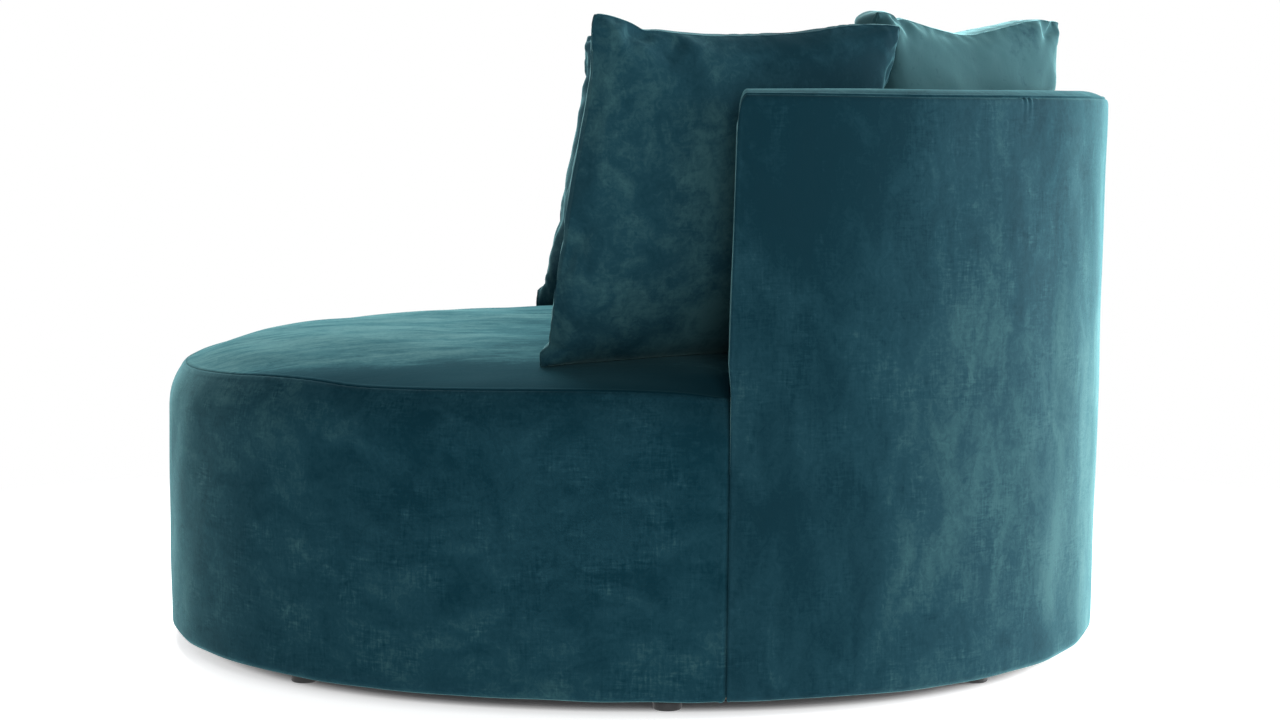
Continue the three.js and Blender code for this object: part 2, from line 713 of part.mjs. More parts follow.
function addCushion(cushion, seat) {
  const { side, facing, lean, roll } = cushion;
  const half = CUSHION_SIZE / 2;
  const cavityHalf = half - CUSHION_COVER_EDGE;
  const cavityDepth = CUSHION_DEPTH - 2 * COVER;
  const slotHalf = ZIP_LENGTH / 2 + GAP;
  const outer = cushionForm(half, CUSHION_DEPTH);
  const slot = boxBetween(
    [-slotHalf, -ZIP_SLOT / 2, -half - OVERRUN],
    [slotHalf, ZIP_SLOT / 2, -cavityHalf + OVERRUN],
  );
  const cover = cut(outer, [cushionForm(cavityHalf, cavityDepth), slot]);

  const stand = new THREE.Group();
  const tilt = new THREE.Group();
  stand.position.copy(cushionMiddle(cushion)).setZ(BACK_TOP + CUSHION_SIZE);
  stand.rotation.z = THREE.MathUtils.degToRad(facing);
  tilt.rotation.x = THREE.MathUtils.degToRad(-lean);
  tilt.rotation.y = THREE.MathUtils.degToRad(roll);
  stand.add(tilt);
  group.add(stand);
  stand.updateMatrixWorld(true);
  stand.position.z -= dropTo(seat, cover, tilt.matrixWorld);

  const padHalf = cavityHalf - GAP;
  const padDepth = cavityDepth - 2 * GAP;
  add(`cushion_${side}_cover`, cover, "velvet", tilt);
  add(`cushion_${side}_pad`, cushionForm(padHalf, padDepth), "wadding", tilt);
  const tapeTop = -cavityHalf - GAP;
  const tapeBottom = tapeTop - ZIP_TAPE_HEIGHT;
  const tapeHalf = ZIP_SLOT / 2 - GAP;
  const tape = boxBetween([-ZIP_LENGTH / 2, -tapeHalf, tapeBottom], [ZIP_LENGTH / 2, tapeHalf, tapeTop]);
  add(`cushion_${side}_zip`, tape, "plastic", tilt);
  const sliderEnd = -ZIP_LENGTH / 2 + SLIDER_END_PLAY;
  const sliderTop = tapeBottom - GAP;
  const slider = boxBetween(
    [sliderEnd, -tapeHalf, sliderTop - SLIDER_HEIGHT],
    [sliderEnd + SLIDER_LENGTH, tapeHalf, sliderTop],
  );
  add(`cushion_${side}_zip_slider`, slider, "metal", tilt);
}

addRings();
addTimbers();
addSkins();
addWebbing();
const seatTop = addSeat();
addBorder();
addBack();
addFacings();
addUnderside();
cushionPlaces.forEach((cushion) => addCushion(cushion, seatTop));

export default group;
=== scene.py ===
import json
import math

import bpy
import numpy as np
from mathutils import Euler, Matrix, Vector


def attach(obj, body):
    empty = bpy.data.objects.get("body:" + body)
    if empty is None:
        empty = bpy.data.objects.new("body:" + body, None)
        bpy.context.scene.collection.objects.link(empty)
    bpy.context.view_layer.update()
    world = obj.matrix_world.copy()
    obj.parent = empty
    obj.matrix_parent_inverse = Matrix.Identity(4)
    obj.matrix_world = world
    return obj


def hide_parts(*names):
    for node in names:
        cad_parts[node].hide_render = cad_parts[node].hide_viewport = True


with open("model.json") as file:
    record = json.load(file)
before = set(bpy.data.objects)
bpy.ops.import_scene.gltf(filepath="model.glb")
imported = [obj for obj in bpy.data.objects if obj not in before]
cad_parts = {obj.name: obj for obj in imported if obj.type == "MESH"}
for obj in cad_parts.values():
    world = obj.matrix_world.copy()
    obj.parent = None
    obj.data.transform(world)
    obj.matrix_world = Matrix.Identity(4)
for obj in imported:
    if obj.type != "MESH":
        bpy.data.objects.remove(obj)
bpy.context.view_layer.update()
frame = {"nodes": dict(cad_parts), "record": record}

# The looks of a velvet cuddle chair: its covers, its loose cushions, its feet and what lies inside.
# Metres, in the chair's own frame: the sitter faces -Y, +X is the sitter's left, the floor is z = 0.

# Plan and heights, as the solids have them
HALF_WIDTH = 0.700
FRONT_REACH = 0.708
REAR_REACH = 0.613
BACK_RAKE = 0.016
PLAN_POWER = 2.2
UNDERSIDE = 0.019
SEAT_SHOULDER = 0.325
SEAT_SEAM = 0.399
SEAT_CROWN = 0.036
SEAT_CROWN_POWER = 5
BACK_TOP = 0.769
SEAM_INSET = 0.024
SHOULDER_DEPTH = 0.050
BACK_THICKNESS = 0.076
BACK_FRONT_Y = 0.116
BACK_SHOULDER = 0.016
BACK_CROWN = 0.010
HEM_ROUND = 0.012
HEM_DEPTH = 0.028

# What lies inside and underneath
COVER = 0.002
GAP = 0.0003
WADDING = 0.008
SKIN = 0.004
SKIN_LIFT = 0.002
SKIN_TOP = 0.7331
TOP_RAIL = 0.018
POST_DEPTH = 0.030
POST_PLAY = 0.002
SEAT_RING_TOP = 0.298
WEBBING_THICKNESS = 0.002
CORE_THICKNESS = 0.024
DUST_COVER_INSET = 0.022
FOOT_INSET = 0.062
FOOT_COUNT = 8

# Loose cushions
CUSHION_SIZE = 0.462
CUSHION_DEPTH = 0.160
ZIP_LENGTH = 0.360
ZIP_SLOT = 0.006

# Looks alone: the back's corners, the seams' run, and how finely the covers are drawn
TOP_SEAM_TURN = math.radians(50)
SHOULDER_SQUARENESS = 1.75
# The front edge of the back in side view: heights, and how far to the rear it stands there
FRONT_LINE_HEIGHTS = (UNDERSIDE, SEAT_SEAM, SEAT_SEAM + SEAT_CROWN, BACK_TOP)
FRONT_LINE_PLACES = (0.1110, 0.1150, 0.1125, 0.1225)
LEAN_REACH = 0.4
END_SLANT = 0.035
# How far the seam round the seat rises over its height, from the front of the seat to the back's end
SEAM_LINE = (
    -0.009, -0.008, -0.005, -0.001, 0.003, 0.003, -0.001, -0.001,
    0.000, 0.001, 0.002, 0.002, 0.001, -0.002, -0.008,
)
CLOTH_STEP = 0.008
SEAM_STEP = 0.0013
SEAM_REACH = 0.006
GRADED_REACHES = 4
PLAN_STEPS = 6000
ARC_STEPS = 40
SHOULDER_STEPS = 80

# Worked out from the sizes above
WIDEST_Y = (FRONT_REACH - REAR_REACH - BACK_RAKE) / 2
CENTRE = np.array([0.0, WIDEST_Y])
BACK_SEAM_TURN = math.pi / 3
BACK_SHOULDER_Z = BACK_TOP - BACK_CROWN - BACK_SHOULDER * math.sin(BACK_SEAM_TURN)
SEAM_TURN = math.acos(1 - SEAM_INSET / SHOULDER_DEPTH)
SHOULDER_HEIGHT = (SEAT_SEAM - SEAT_SHOULDER) / math.sin(SEAM_TURN)
END_TURN = math.acos(((BACK_FRONT_Y - WIDEST_Y) / REAR_REACH) ** (PLAN_POWER / 2))
WADDING_INSET = COVER + GAP
OUTER_SKIN_INSET = WADDING_INSET + WADDING + GAP
INNER_SKIN_INSET = OUTER_SKIN_INSET + SKIN + GAP + POST_PLAY + POST_DEPTH + POST_PLAY
INNER_FOAM_INSET = INNER_SKIN_INSET + SKIN + GAP
SEAT_WALL_INSET = BACK_THICKNESS + GAP
PLATFORM = SEAT_RING_TOP + GAP + WEBBING_THICKNESS + GAP
CORE_TOP = PLATFORM + CORE_THICKNESS
RING_BOTTOM = UNDERSIDE + COVER + GAP
FOOT_HEIGHT = UNDERSIDE + COVER
LINING_TOP = UNDERSIDE - GAP


# Plan


def raked(x, y, z):
    """Points moved back as far as the rake of the back carries them."""
    x, y, z = np.broadcast_arrays(x, y, z)
    behind = np.maximum(0, y - WIDEST_Y) / REAR_REACH
    return np.stack([x, y + BACK_RAKE * behind * z / BACK_TOP, z], axis=-1)


def plan_point(turn, inset, z, share=1.0):
    """Points of the plan drawn in by inset, at a turn from straight behind."""
    sine, cosine = np.sin(turn), np.cos(turn)
    across = np.sign(sine) * np.abs(sine) ** (2 / PLAN_POWER)
    along = np.sign(cosine) * np.abs(cosine) ** (2 / PLAN_POWER)
    reach = np.where(cosine < 0, FRONT_REACH, REAR_REACH) - inset
    return raked((HALF_WIDTH - inset) * across * share, WIDEST_Y + reach * along * share, z)


def end_turn_at(z, inset=0.0):
    """The turn at which the back ends, along the leaning line of its front edge."""
    y = np.interp(z, FRONT_LINE_HEIGHTS, FRONT_LINE_PLACES) + END_SLANT * inset
    return np.arccos(((y - WIDEST_Y) / (REAR_REACH - inset)) ** (PLAN_POWER / 2))


def leaned(turn, z, inset):
    """Turns carried along with the leaning front edge of the back, fading out away from it."""
    around = np.mod(turn + math.pi, 2 * math.pi) - math.pi
    near = 1 - smooth(np.abs(np.abs(around) - END_TURN) / LEAN_REACH)
    return turn + np.sign(around) * (end_turn_at(z, inset) - END_TURN) * near


def seat_height(x, y):
    """The height of the seat's surface over points of the plan."""
    reach = np.where(y < WIDEST_Y, FRONT_REACH, REAR_REACH) - SEAM_INSET
    across = np.abs(x / (HALF_WIDTH - SEAM_INSET)) ** PLAN_POWER
    along = np.abs((y - WIDEST_Y) / reach) ** PLAN_POWER
    share = np.minimum(1, (across + along) ** (1 / PLAN_POWER))
    return SEAT_SEAM + SEAT_CROWN * (1 - share**SEAT_CROWN_POWER)


def seat_surface(x, y):
    """The height of the seat's top with its soft unevenness."""
    return seat_height(x, y) + swell(x, y, *UNEVEN["seat"])


def smooth(value):
    """0 up to 0, 1 from 1 on, and a smooth step between."""
    t = np.clip(value, 0, 1)
    return t * t * (3 - 2 * t)


def lengths(points):
    """How far along a line each of its points lies."""
    steps = np.linalg.norm(np.diff(points, axis=0), axis=1)
    return np.concatenate([[0], np.cumsum(steps)])


def graded(length, coarse, fine, sewn, reach=SEAM_REACH):
    """Places along a length, close together near the sewn places."""
    places = [0.0]
    while places[-1] < length:
        off = min(abs(places[-1] - s) for s in sewn)
        coarseness = float(smooth((off - reach) / (GRADED_REACHES * reach)))
        places.append(places[-1] + fine + (coarse - fine) * coarseness)
    return np.array(places) * length / places[-1]


def round_plan(first, last, sewn_turns, coarse=CLOTH_STEP, fine=SEAM_STEP):
    """Turns from first to last and how far along the outside each lies, close together at the seams."""
    fan = np.linspace(first, last, PLAN_STEPS)
    along = lengths(plan_point(fan, 0.0, 0.0))
    sewn = np.interp(sewn_turns, fan, along)
    places = graded(along[-1], coarse, fine, sewn)
    return np.interp(places, along, fan), places


# Relief

# Soft unevenness of each piece: the seed of its draw, its height, its shortest and its longest wave
UNEVEN = {
    "border": (11, 0.0009, 0.10, 0.45),
    "back_outer": (12, 0.0010, 0.12, 0.60),
    "back_inner": (13, 0.0008, 0.12, 0.50),
    "back_top": (14, 0.0006, 0.08, 0.40),
    "right_facing": (14, 0.0006, 0.08, 0.30),
    "left_facing": (16, 0.0006, 0.08, 0.30),
    "seat": (16, 0.0011, 0.10, 0.50),
    "wadding": (31, 0.0004, 0.05, 0.20),
    "lining": (33, 0.0003, 0.06, 0.30),
}
# Gathers at each seam: the seed, the height, the pitch, and how far they run off the seam
GATHERS = {
    "border": (21, 0.0006, 0.016, 0.022),
    "back_outer": (22, 0.0012, 0.011, 0.010),
    "seat": (23, 0.0005, 0.018, 0.020),
}
SWELL_WAVES = 14
SWELL_FADE = 0.05
STITCH_DEPTH = 0.0022
STITCH_WIDTH = 0.0016
SEAM_LIP = 0.0006
SEAM_ALLOWANCE = 0.008
LIP_FADE = 0.003
# The shortest and longest waves of where gathers lie, and of how they wander
GATHER_PATCHES = (0.12, 0.5)
GATHER_WANDER = (0.08, 0.3)
GATHER_SOFTNESS = 0.9
GATHER_WANDER_TURN = 1.5


def swell(rows, columns, seed, height, shortest, longest):
    """Soft uneven rise and fall of stuffed cloth: a few long waves that run every way."""
    draw = np.random.default_rng(seed)
    total = np.zeros(np.broadcast(rows, columns).shape)
    for _ in range(SWELL_WAVES):
        size = draw.uniform(shortest, longest)
        way = draw.uniform(0, math.pi)
        phase = draw.uniform(0, 2 * math.pi)
        total += np.sin(2 * math.pi * (rows * math.cos(way) + columns * math.sin(way)) / size + phase)
    return height * total / math.sqrt(SWELL_WAVES)


def seam_relief(off, depth=STITCH_DEPTH, lip=SEAM_LIP, allowance=SEAM_ALLOWANCE):
    """Height of a cover near its seam: the stitched groove, then the ridge over the seam allowance."""
    groove = -depth * np.exp(-((off / STITCH_WIDTH) ** 2))
    return groove + lip * (1 - smooth((off - allowance) / LIP_FADE))


def gathers(along, off, seed, height, pitch, reach, share=0.5):
    """Small puckers that run off a seam, in some stretches of it and not in others."""
    draw = np.random.default_rng(seed)
    where = swell(along, 0 * along, seed + 1, 1.0, *GATHER_PATCHES)
    wander = swell(along, 0 * along, seed + 2, 1.0, *GATHER_WANDER)
    patch = smooth((where + share - 0.5) / GATHER_SOFTNESS)
    ripple = np.sin(2 * math.pi * along / pitch + GATHER_WANDER_TURN * wander + draw.uniform(0, 6))
    return height * patch * ripple * np.exp(-off / reach)


def rolled_in(off, radius):
    """How far a rolled edge has turned in at a distance from its end."""
    left = np.clip(1 - off / radius, 0, 1)
    return radius * (1 - np.sqrt(1 - left**2))


def uneven(name, along, places, off_seam, off_end):
    """The soft unevenness of a cover, fading out at its seam and at its ends."""
    rise = swell(along[:, None], places[None, :], *UNEVEN[name])
    return rise * smooth(off_seam / SWELL_FADE) * smooth(off_end / SWELL_FADE)


# Meshes


def make(name, points, faces, finish, smooth_shaded=True):
    """A mesh object from points and faces, with its normals out."""
    mesh = bpy.data.meshes.new(name)
    mesh.from_pydata(np.asarray(points, float).tolist(), [], faces)
    mesh.materials.append(finish)
    mesh.polygons.foreach_set("use_smooth", [smooth_shaded] * len(mesh.polygons))
    mesh.validate()
    piece = bpy.data.objects.new(name, mesh)
    bpy.context.scene.collection.objects.link(piece)
    return piece


def grid_faces(rows, columns, start=0, is_loop=False, flip=False):
    """The quads of a grid of points, row after row."""
    r = np.arange(rows if is_loop else rows - 1)[:, None]
    c = np.arange(columns - 1)[None, :]
    after = (r + 1) % rows
    a, b = r * columns + c, r * columns + c + 1
    d, e = after * columns + c + 1, after * columns + c
    quads = np.stack([a, b, d, e], axis=-1).reshape(-1, 4) + start
    return (quads[:, ::-1] if flip else quads).tolist()


def shell(name, outer, inner, finish, is_loop=False):
    """A closed skin between two grids of points with as many rows and columns each."""
    rows, columns = outer.shape[:2]
    size = rows * columns
    points = np.concatenate([outer.reshape(-1, 3), inner.reshape(-1, 3)])
    faces = grid_faces(rows, columns, 0, is_loop) + grid_faces(rows, columns, size, is_loop, True)

    def strip(line):
        line = np.asarray(line)
        return np.stack([line[:-1], line[:-1] + size, line[1:] + size, line[1:]], axis=-1).tolist()

    ring = list(range(rows)) + ([0] if is_loop else [])
    faces += strip([r * columns for r in ring])
    faces += strip([r * columns + columns - 1 for r in ring][::-1])
    if not is_loop:
        faces += strip(list(range(columns))[::-1])
        faces += strip([(rows - 1) * columns + c for c in range(columns)])
    return make(name, points, faces, finish)


def section_line(section, sewn_shares, coarse=CLOTH_STEP, fine=SEAM_STEP):
    """Points of a section line, close together where it is sewn, with their outward directions."""
    line = np.asarray(section, float)
    along = lengths(line)
    places = graded(along[-1], coarse, fine, [share * along[-1] for share in sewn_shares])
    drawn = np.stack([np.interp(places, along, line[:, k]) for k in (0, 1)], axis=-1)
    way = np.gradient(drawn, places, axis=0)
    way /= np.linalg.norm(way, axis=1)[:, None]
    outward = np.stack([way[:, 1], -way[:, 0]], axis=-1)
    return drawn, outward, places


def swept(section, outward, turns, rise, reshape=None):
    """A section's points carried round the plan, raised along their outward directions by rise."""
    inset = section[None, :, 0] - rise * outward[None, :, 0]
    z = section[None, :, 1] - rise * outward[None, :, 1]
    if reshape is not None:
        inset, z = reshape(inset, z)
    return plan_point(leaned(turns[:, None], z, inset), inset, z)


def arc_line(centre, radii, start, stop, count=ARC_STEPS, squareness=1.0):
    """Points of an ellipse's arc in the section plane, drawn out into its corner by squareness."""
    turn = np.linspace(start, stop, count)
    across = np.abs(np.cos(turn)) ** (1 / squareness)
    up = np.sign(np.sin(turn)) * np.abs(np.sin(turn)) ** (1 / squareness)
    return np.stack([centre[0] - radii[0] * across, centre[1] + radii[1] * up], axis=-1)


def hem_line():
    """The hem under the body, from its inner lip out to the upright face."""
    lip = [[HEM_DEPTH, UNDERSIDE], [HEM_ROUND + GAP, UNDERSIDE]]
    centre = (HEM_ROUND, UNDERSIDE + HEM_ROUND)
    return np.concatenate([lip, arc_line(centre, (HEM_ROUND, HEM_ROUND), -math.pi / 2, 0)])


def border_line():
    """The seat border's outline, from its hem up over its shoulder to the seam."""
    centre = (SHOULDER_DEPTH, SEAT_SHOULDER)
    radii = (SHOULDER_DEPTH, SHOULDER_HEIGHT)
    return np.concatenate([hem_line(), arc_line(centre, radii, 0, SEAM_TURN, SHOULDER_STEPS)])


def back_shoulder_line(depth=0.0):
    """The rounded shoulder of the back, from its outer face up to the seam of its top."""
    radius = BACK_SHOULDER - depth
    centre = (BACK_SHOULDER, BACK_SHOULDER_Z)
    return arc_line(centre, (radius, radius), 0, TOP_SEAM_TURN, squareness=SHOULDER_SQUARENESS)


def mirrored_line(line):
    """The same line on the inner side of the back, running down."""
    return np.stack([BACK_THICKNESS - line[::-1, 0], line[::-1, 1]], axis=-1)


def crown_line(depth=0.0):
    """The crown of the back's top, from the outer seam to the inner one."""
    seam_inset, seam_z = back_shoulder_line(depth)[-1]
    half = BACK_THICKNESS / 2 - seam_inset
    share = np.linspace(-1, 1, SHOULDER_STEPS)
    rise = BACK_TOP - depth - seam_z
    return np.stack([BACK_THICKNESS / 2 + half * share, seam_z + rise * (1 - share**2)], axis=-1)


# Materials


class Wire:
    """A socket of a material's nodes; a sum on it adds Math nodes."""

    def __init__(self, tree, socket):
        self.tree = tree
        self.socket = socket

    def math(self, operation, *others):
        node = self.tree.nodes.new("ShaderNodeMath")
        node.operation = operation
        for socket, value in zip(node.inputs, (self, *others)):
            plug(self.tree, socket, value)
        return Wire(self.tree, node.outputs[0])

    def __add__(self, other):
        return self.math("ADD", other)

    def __sub__(self, other):
        return self.math("SUBTRACT", other)

    def __rsub__(self, other):
        return self.math("MULTIPLY", -1).math("ADD", other)

    def __mul__(self, other):
        return self.math("MULTIPLY", other)

    def __pow__(self, other):
        return self.math("POWER", other)

    __radd__ = __add__
    __rmul__ = __mul__


def plug(tree, socket, value):
    """Links a wire to a socket, or sets a number, a vector or a colour on it."""
    if isinstance(value, Wire):
        tree.links.new(value.socket, socket)
    elif isinstance(value, tuple) and len(value) == 3 and socket.type == "RGBA":
        socket.default_value = (*value, 1)
    else:
        socket.default_value = value


class Finish:
    """A material, or the world if that is given, and the nodes that make it."""

    def __init__(self, name, world=None):
        self.material = world or bpy.data.materials.new(name)
        self.material.use_nodes = True
        self.tree = self.material.node_tree
        self.tree.nodes.clear()

    def node(self, kind, settings=None, inputs=None, output=0):
        """A node of a kind: its settings are set first, then its sockets."""
        node = self.tree.nodes.new(kind)
        for name, value in (settings or {}).items():
            if name == "stops":
                ramp = node.color_ramp.elements
                while len(ramp) < len(value):
                    ramp.new(0.5)
                for stop, (place, colour) in zip(ramp, value):
                    stop.position = place
                    stop.color = (*colour, 1)
            else:
                setattr(node, name, value)
        for name, value in (inputs or {}).items():
            plug(self.tree, node.inputs[name], value)
        return Wire(self.tree, node.outputs[output]) if len(node.outputs) else None

    def place(self, stretch=(1.0, 1.0, 1.0)):
        """The point on the piece, in metres, with the pattern drawn out along the axes by stretch."""
        point = self.node("ShaderNodeTexCoord", output="Object")
        scale = tuple(1 / s for s in stretch)
        return self.node("ShaderNodeVectorMath", {"operation": "MULTIPLY"}, {0: point, 1: scale})

    def noise(self, place, size, detail=3.0, roughness=0.5, warp=0.0):
        """Cloudy noise from 0 to 1 whose clouds are about a size across, in metres."""
        values = {
            "Vector": place,
            "Scale": 1 / size,
            "Detail": detail,
            "Roughness": roughness,
            "Distortion": warp,
        }
        return self.node("ShaderNodeTexNoise", None, values)

    def split(self, vector):
        """The x, y and z of a vector."""
        node = self.tree.nodes.new("ShaderNodeSeparateXYZ")
        plug(self.tree, node.inputs[0], vector)
        return [Wire(self.tree, output) for output in node.outputs]

    def ramp(self, factor, *stops):
        """The colour at a factor between stops, each a place from 0 to 1 and a colour."""
        return self.node("ShaderNodeValToRGB", {"stops": stops}, {"Fac": factor})

    def mix(self, factor, first, second):
        """A colour between two others."""
        return self.node("ShaderNodeMix", {"data_type": "RGBA"}, {0: factor, 6: first, 7: second}, 2)

    def bump(self, height, distance, strength=1.0, under=None):
        """The normal of a surface raised by a height from 0 to 1 times a distance, in metres."""
        values = {"Height": height, "Distance": distance, "Strength": strength}
        if under is not None:
            values["Normal"] = under
        return self.node("ShaderNodeBump", None, values)

    def done(self, **values):
        """Ends the material in a Principled shader with these values on its sockets."""
        inputs = {name.replace("_", " "): value for name, value in values.items()}
        shader = self.node("ShaderNodeBsdfPrincipled", None, inputs)
        self.node("ShaderNodeOutputMaterial", None, {"Surface": shader})
        return self.material


# How much each scale of mottling moves the velvet's tone, and how worn a patch is before it shows marks
MOTTLE = {"clouds": 0.8, "blotches": 0.9, "flecks": 0.5, "marks": 3.0, "pile": 0.25}
WORN_FROM = 0.42
NOISE_MIDDLE = 0.5
MIDDLE_TONE = 0.5
PAINTED_SHEEN_POWER = 5.0
# From the darkest tone to the lightest: the velvet's colour, and the paler colour of its painted sheen
TONES = (0.15, 0.50, 0.85)
VELVET_COLOURS = ((0.0035, 0.0250, 0.0370), (0.0095, 0.0420, 0.0585), (0.0270, 0.0790, 0.0910))
VELVET_PAINTED_SHEEN = ((0.030, 0.105, 0.130), (0.066, 0.200, 0.222), (0.140, 0.305, 0.315))


def velvet(name, nap, shade, mark=1.0, painted_light_sweeps=(), sheen=0.30, gloss=0.04):
    """Short-pile velvet: its pile lies this way and that, so it mottles; painted sheen pales it where it
    turns away.

    Each sweep of painted light and shade shifts the tone by an amount between two places along a direction.
    """
    cloth = Finish(name)
    straight = cloth.place()
    along_nap = cloth.place(nap)
    clouds = cloth.noise(along_nap, size=0.17, detail=2.0, warp=0.6)
    blotches = cloth.noise(along_nap, size=0.050, roughness=0.55, warp=0.8)
    flecks = cloth.noise(straight, size=0.011, roughness=0.6, warp=1.5)
    rubs = cloth.noise(cloth.place((1.0, 1.0, 7.0)), size=0.0035, detail=2.0, warp=0.6)
    scuffs = cloth.noise(cloth.place((7.0, 7.0, 1.0)), size=0.0030, detail=2.0, warp=0.6)
    worn = cloth.noise(straight, size=0.06, detail=2.0, warp=1.0)
    patch = (worn - WORN_FROM).math("MAXIMUM", 0.0)
    pile = cloth.noise(straight, size=0.0011, detail=2.0, roughness=0.7)
    broad = (clouds - NOISE_MIDDLE) * MOTTLE["clouds"] + (blotches - NOISE_MIDDLE) * MOTTLE["blotches"]
    broad = broad + (flecks - NOISE_MIDDLE) * MOTTLE["flecks"]
    marks = ((rubs - NOISE_MIDDLE) + (scuffs - NOISE_MIDDLE)) * patch * MOTTLE["marks"] * mark
    small = marks + (pile - NOISE_MIDDLE) * MOTTLE["pile"]
    facing = cloth.node("ShaderNodeLayerWeight", None, {"Blend": 0.5}, "Facing")
    tone = broad + small + MIDDLE_TONE + shade
    # Painted light and shade: each sweep lifts or lowers the tone along a direction.
    for direction, start, end, amount in painted_light_sweeps:
        settings = {"operation": "DOT_PRODUCT"}
        place = cloth.node("ShaderNodeVectorMath", settings, {0: straight, 1: direction}, 1)
        limits = {"Value": place, "From Min": start, "From Max": end, "To Max": amount}
        tone = tone + cloth.node("ShaderNodeMapRange", {"interpolation_type": "SMOOTHSTEP"}, limits)
    # Painted sheen: the colour is mixed towards a paler one where the surface turns away from the view.
    colour, pale = (cloth.ramp(tone, *zip(TONES, colours)) for colours in (VELVET_COLOURS, VELVET_PAINTED_SHEEN))
    colour_with_painted_sheen = cloth.mix(facing**PAINTED_SHEEN_POWER, colour, pale)
    rough = 0.85 + (blotches - NOISE_MIDDLE) * 0.2
    coarse = cloth.bump(blotches + flecks * 0.4, distance=0.0008, strength=0.5)
    fine = cloth.bump(pile, distance=0.00025, strength=0.5, under=coarse)
    return cloth.done(
        Base_Color=colour_with_painted_sheen,
        Roughness=rough,
        Normal=fine,
        Specular_IOR_Level=gloss,
        Sheen_Weight=sheen,
        Sheen_Roughness=0.28,
        Sheen_Tint=(0.38, 0.76, 0.80),
    )


# How many cells, plies or pressed dots there are to a metre, as their textures count them
FOAM_CELLS = 900.0
PLIES = 55.0
LINING_DOTS = 420.0
# A band of a wave texture at scale 1, as a share of a thread
BAND_SHARE = 0.1


def foam_finish():
    """Cut upholstery foam with its open cells."""
    foam = Finish("foam")
    place = foam.place()
    cells = foam.node("ShaderNodeTexVoronoi", None, {"Vector": place, "Scale": FOAM_CELLS})
    clouds = foam.noise(place, size=0.08)
    colour = foam.mix(clouds, (0.74, 0.68, 0.46), (0.62, 0.55, 0.33))
    normal = foam.bump(cells, distance=0.0006, strength=0.7)
    return foam.done(Base_Color=colour, Roughness=0.95, Normal=normal)


def fibre_finish():
    """Bonded polyester fibre."""
    fibre = Finish("fibre_wadding")
    strands = fibre.noise(fibre.place((6.0, 1.0, 1.0)), size=0.004, detail=6.0, roughness=0.7, warp=1.2)
    loft = fibre.noise(fibre.place(), size=0.03)
    colour = fibre.mix(strands, (0.80, 0.80, 0.78), (0.62, 0.62, 0.60))
    normal = fibre.bump(strands + loft, distance=0.002, strength=0.8)
    return fibre.done(Base_Color=colour, Roughness=0.97, Sheen_Weight=0.3, Normal=normal)


def plywood_finish():
    """Rotary-cut plywood: long grain with its plies as thin lines across the edges."""
    wood = Finish("plywood")
    grain = wood.noise(wood.place((9.0, 1.0, 3.0)), size=0.008, detail=5.0, roughness=0.65, warp=0.8)
    flame = wood.noise(wood.place((3.0, 1.0, 1.0)), size=0.06, warp=1.4)
    settings = {"wave_type": "BANDS", "bands_direction": "Z"}
    plies = wood.node("ShaderNodeTexWave", settings, {"Vector": wood.place(), "Scale": PLIES}, "Fac")
    tone = grain * 0.5 + flame * 0.35 + plies * 0.15
    browns = ((0.25, (0.30, 0.17, 0.075)), (0.55, (0.50, 0.32, 0.16)), (0.80, (0.62, 0.43, 0.24)))
    colour = wood.ramp(tone, *browns)
    rough = 0.7 - grain * 0.2
    normal = wood.bump(grain, distance=0.0006, strength=0.6)
    return wood.done(Base_Color=colour, Roughness=rough, Normal=normal)


def woven_finish(name, thread, dark, light):
    """A plain weave of flat threads a size across."""
    cloth = Finish(name)
    place = cloth.place()
    waves = []
    for direction in ("X", "Y"):
        settings = {"wave_type": "BANDS", "bands_direction": direction}
        inputs = {"Vector": place, "Scale": BAND_SHARE / thread}
        waves.append(cloth.node("ShaderNodeTexWave", settings, inputs, "Fac"))
    weave = waves[0].math("MAXIMUM", waves[1])
    dust = cloth.noise(place, size=0.02, detail=4.0)
    colour = cloth.mix(weave * 0.7 + dust * 0.3, dark, light)
    normal = cloth.bump(weave, distance=thread / 3, strength=0.7)
    return cloth.done(Base_Color=colour, Roughness=0.85, Normal=normal)


def lining_finish():
    """Black spun-bonded lining with its small pressed dots."""
    cloth = Finish("black_lining")
    place = cloth.place()
    dots = cloth.node("ShaderNodeTexVoronoi", None, {"Vector": place, "Scale": LINING_DOTS})
    fuzz = cloth.noise(place, size=0.003, detail=5.0, roughness=0.7)
    colour = cloth.mix(fuzz, (0.010, 0.010, 0.011), (0.035, 0.035, 0.038))
    normal = cloth.bump(dots + fuzz, distance=0.0004, strength=0.8)
    return cloth.done(Base_Color=colour, Roughness=0.8, Normal=normal)


def plastic_finish():
    """Moulded black plastic, a little scuffed."""
    plastic = Finish("moulded_black_plastic")
    place = plastic.place()
    grain = plastic.noise(place, size=0.0008, detail=2.0)
    upright = plastic.place((1.0, 1.0, 0.2))
    scuffs = plastic.noise(upright, size=0.006, detail=5.0, roughness=0.7, warp=1.0)
    colour = plastic.mix(scuffs, (0.010, 0.011, 0.012), (0.028, 0.030, 0.032))
    rough = 0.34 + scuffs * 0.25
    normal = plastic.bump(grain, distance=0.0002, strength=0.4)
    return plastic.done(Base_Color=colour, Roughness=rough, Normal=normal)


def metal_finish():
    """Dull zinc of the zip sliders."""
    metal = Finish("zip_metal")
    marks = metal.noise(metal.place((1.0, 1.0, 8.0)), size=0.0015, detail=5.0, roughness=0.7)
    colour = metal.mix(marks, (0.42, 0.43, 0.44), (0.62, 0.63, 0.64))
    rough = 0.28 + marks * 0.25
    normal = metal.bump(marks, distance=0.0001, strength=0.5)
    return metal.done(Base_Color=colour, Metallic=1.0, Roughness=rough, Normal=normal)


UP = (0.0, 0.0, 1.0)
REARWARD = (0.0, 1.0, 0.0)
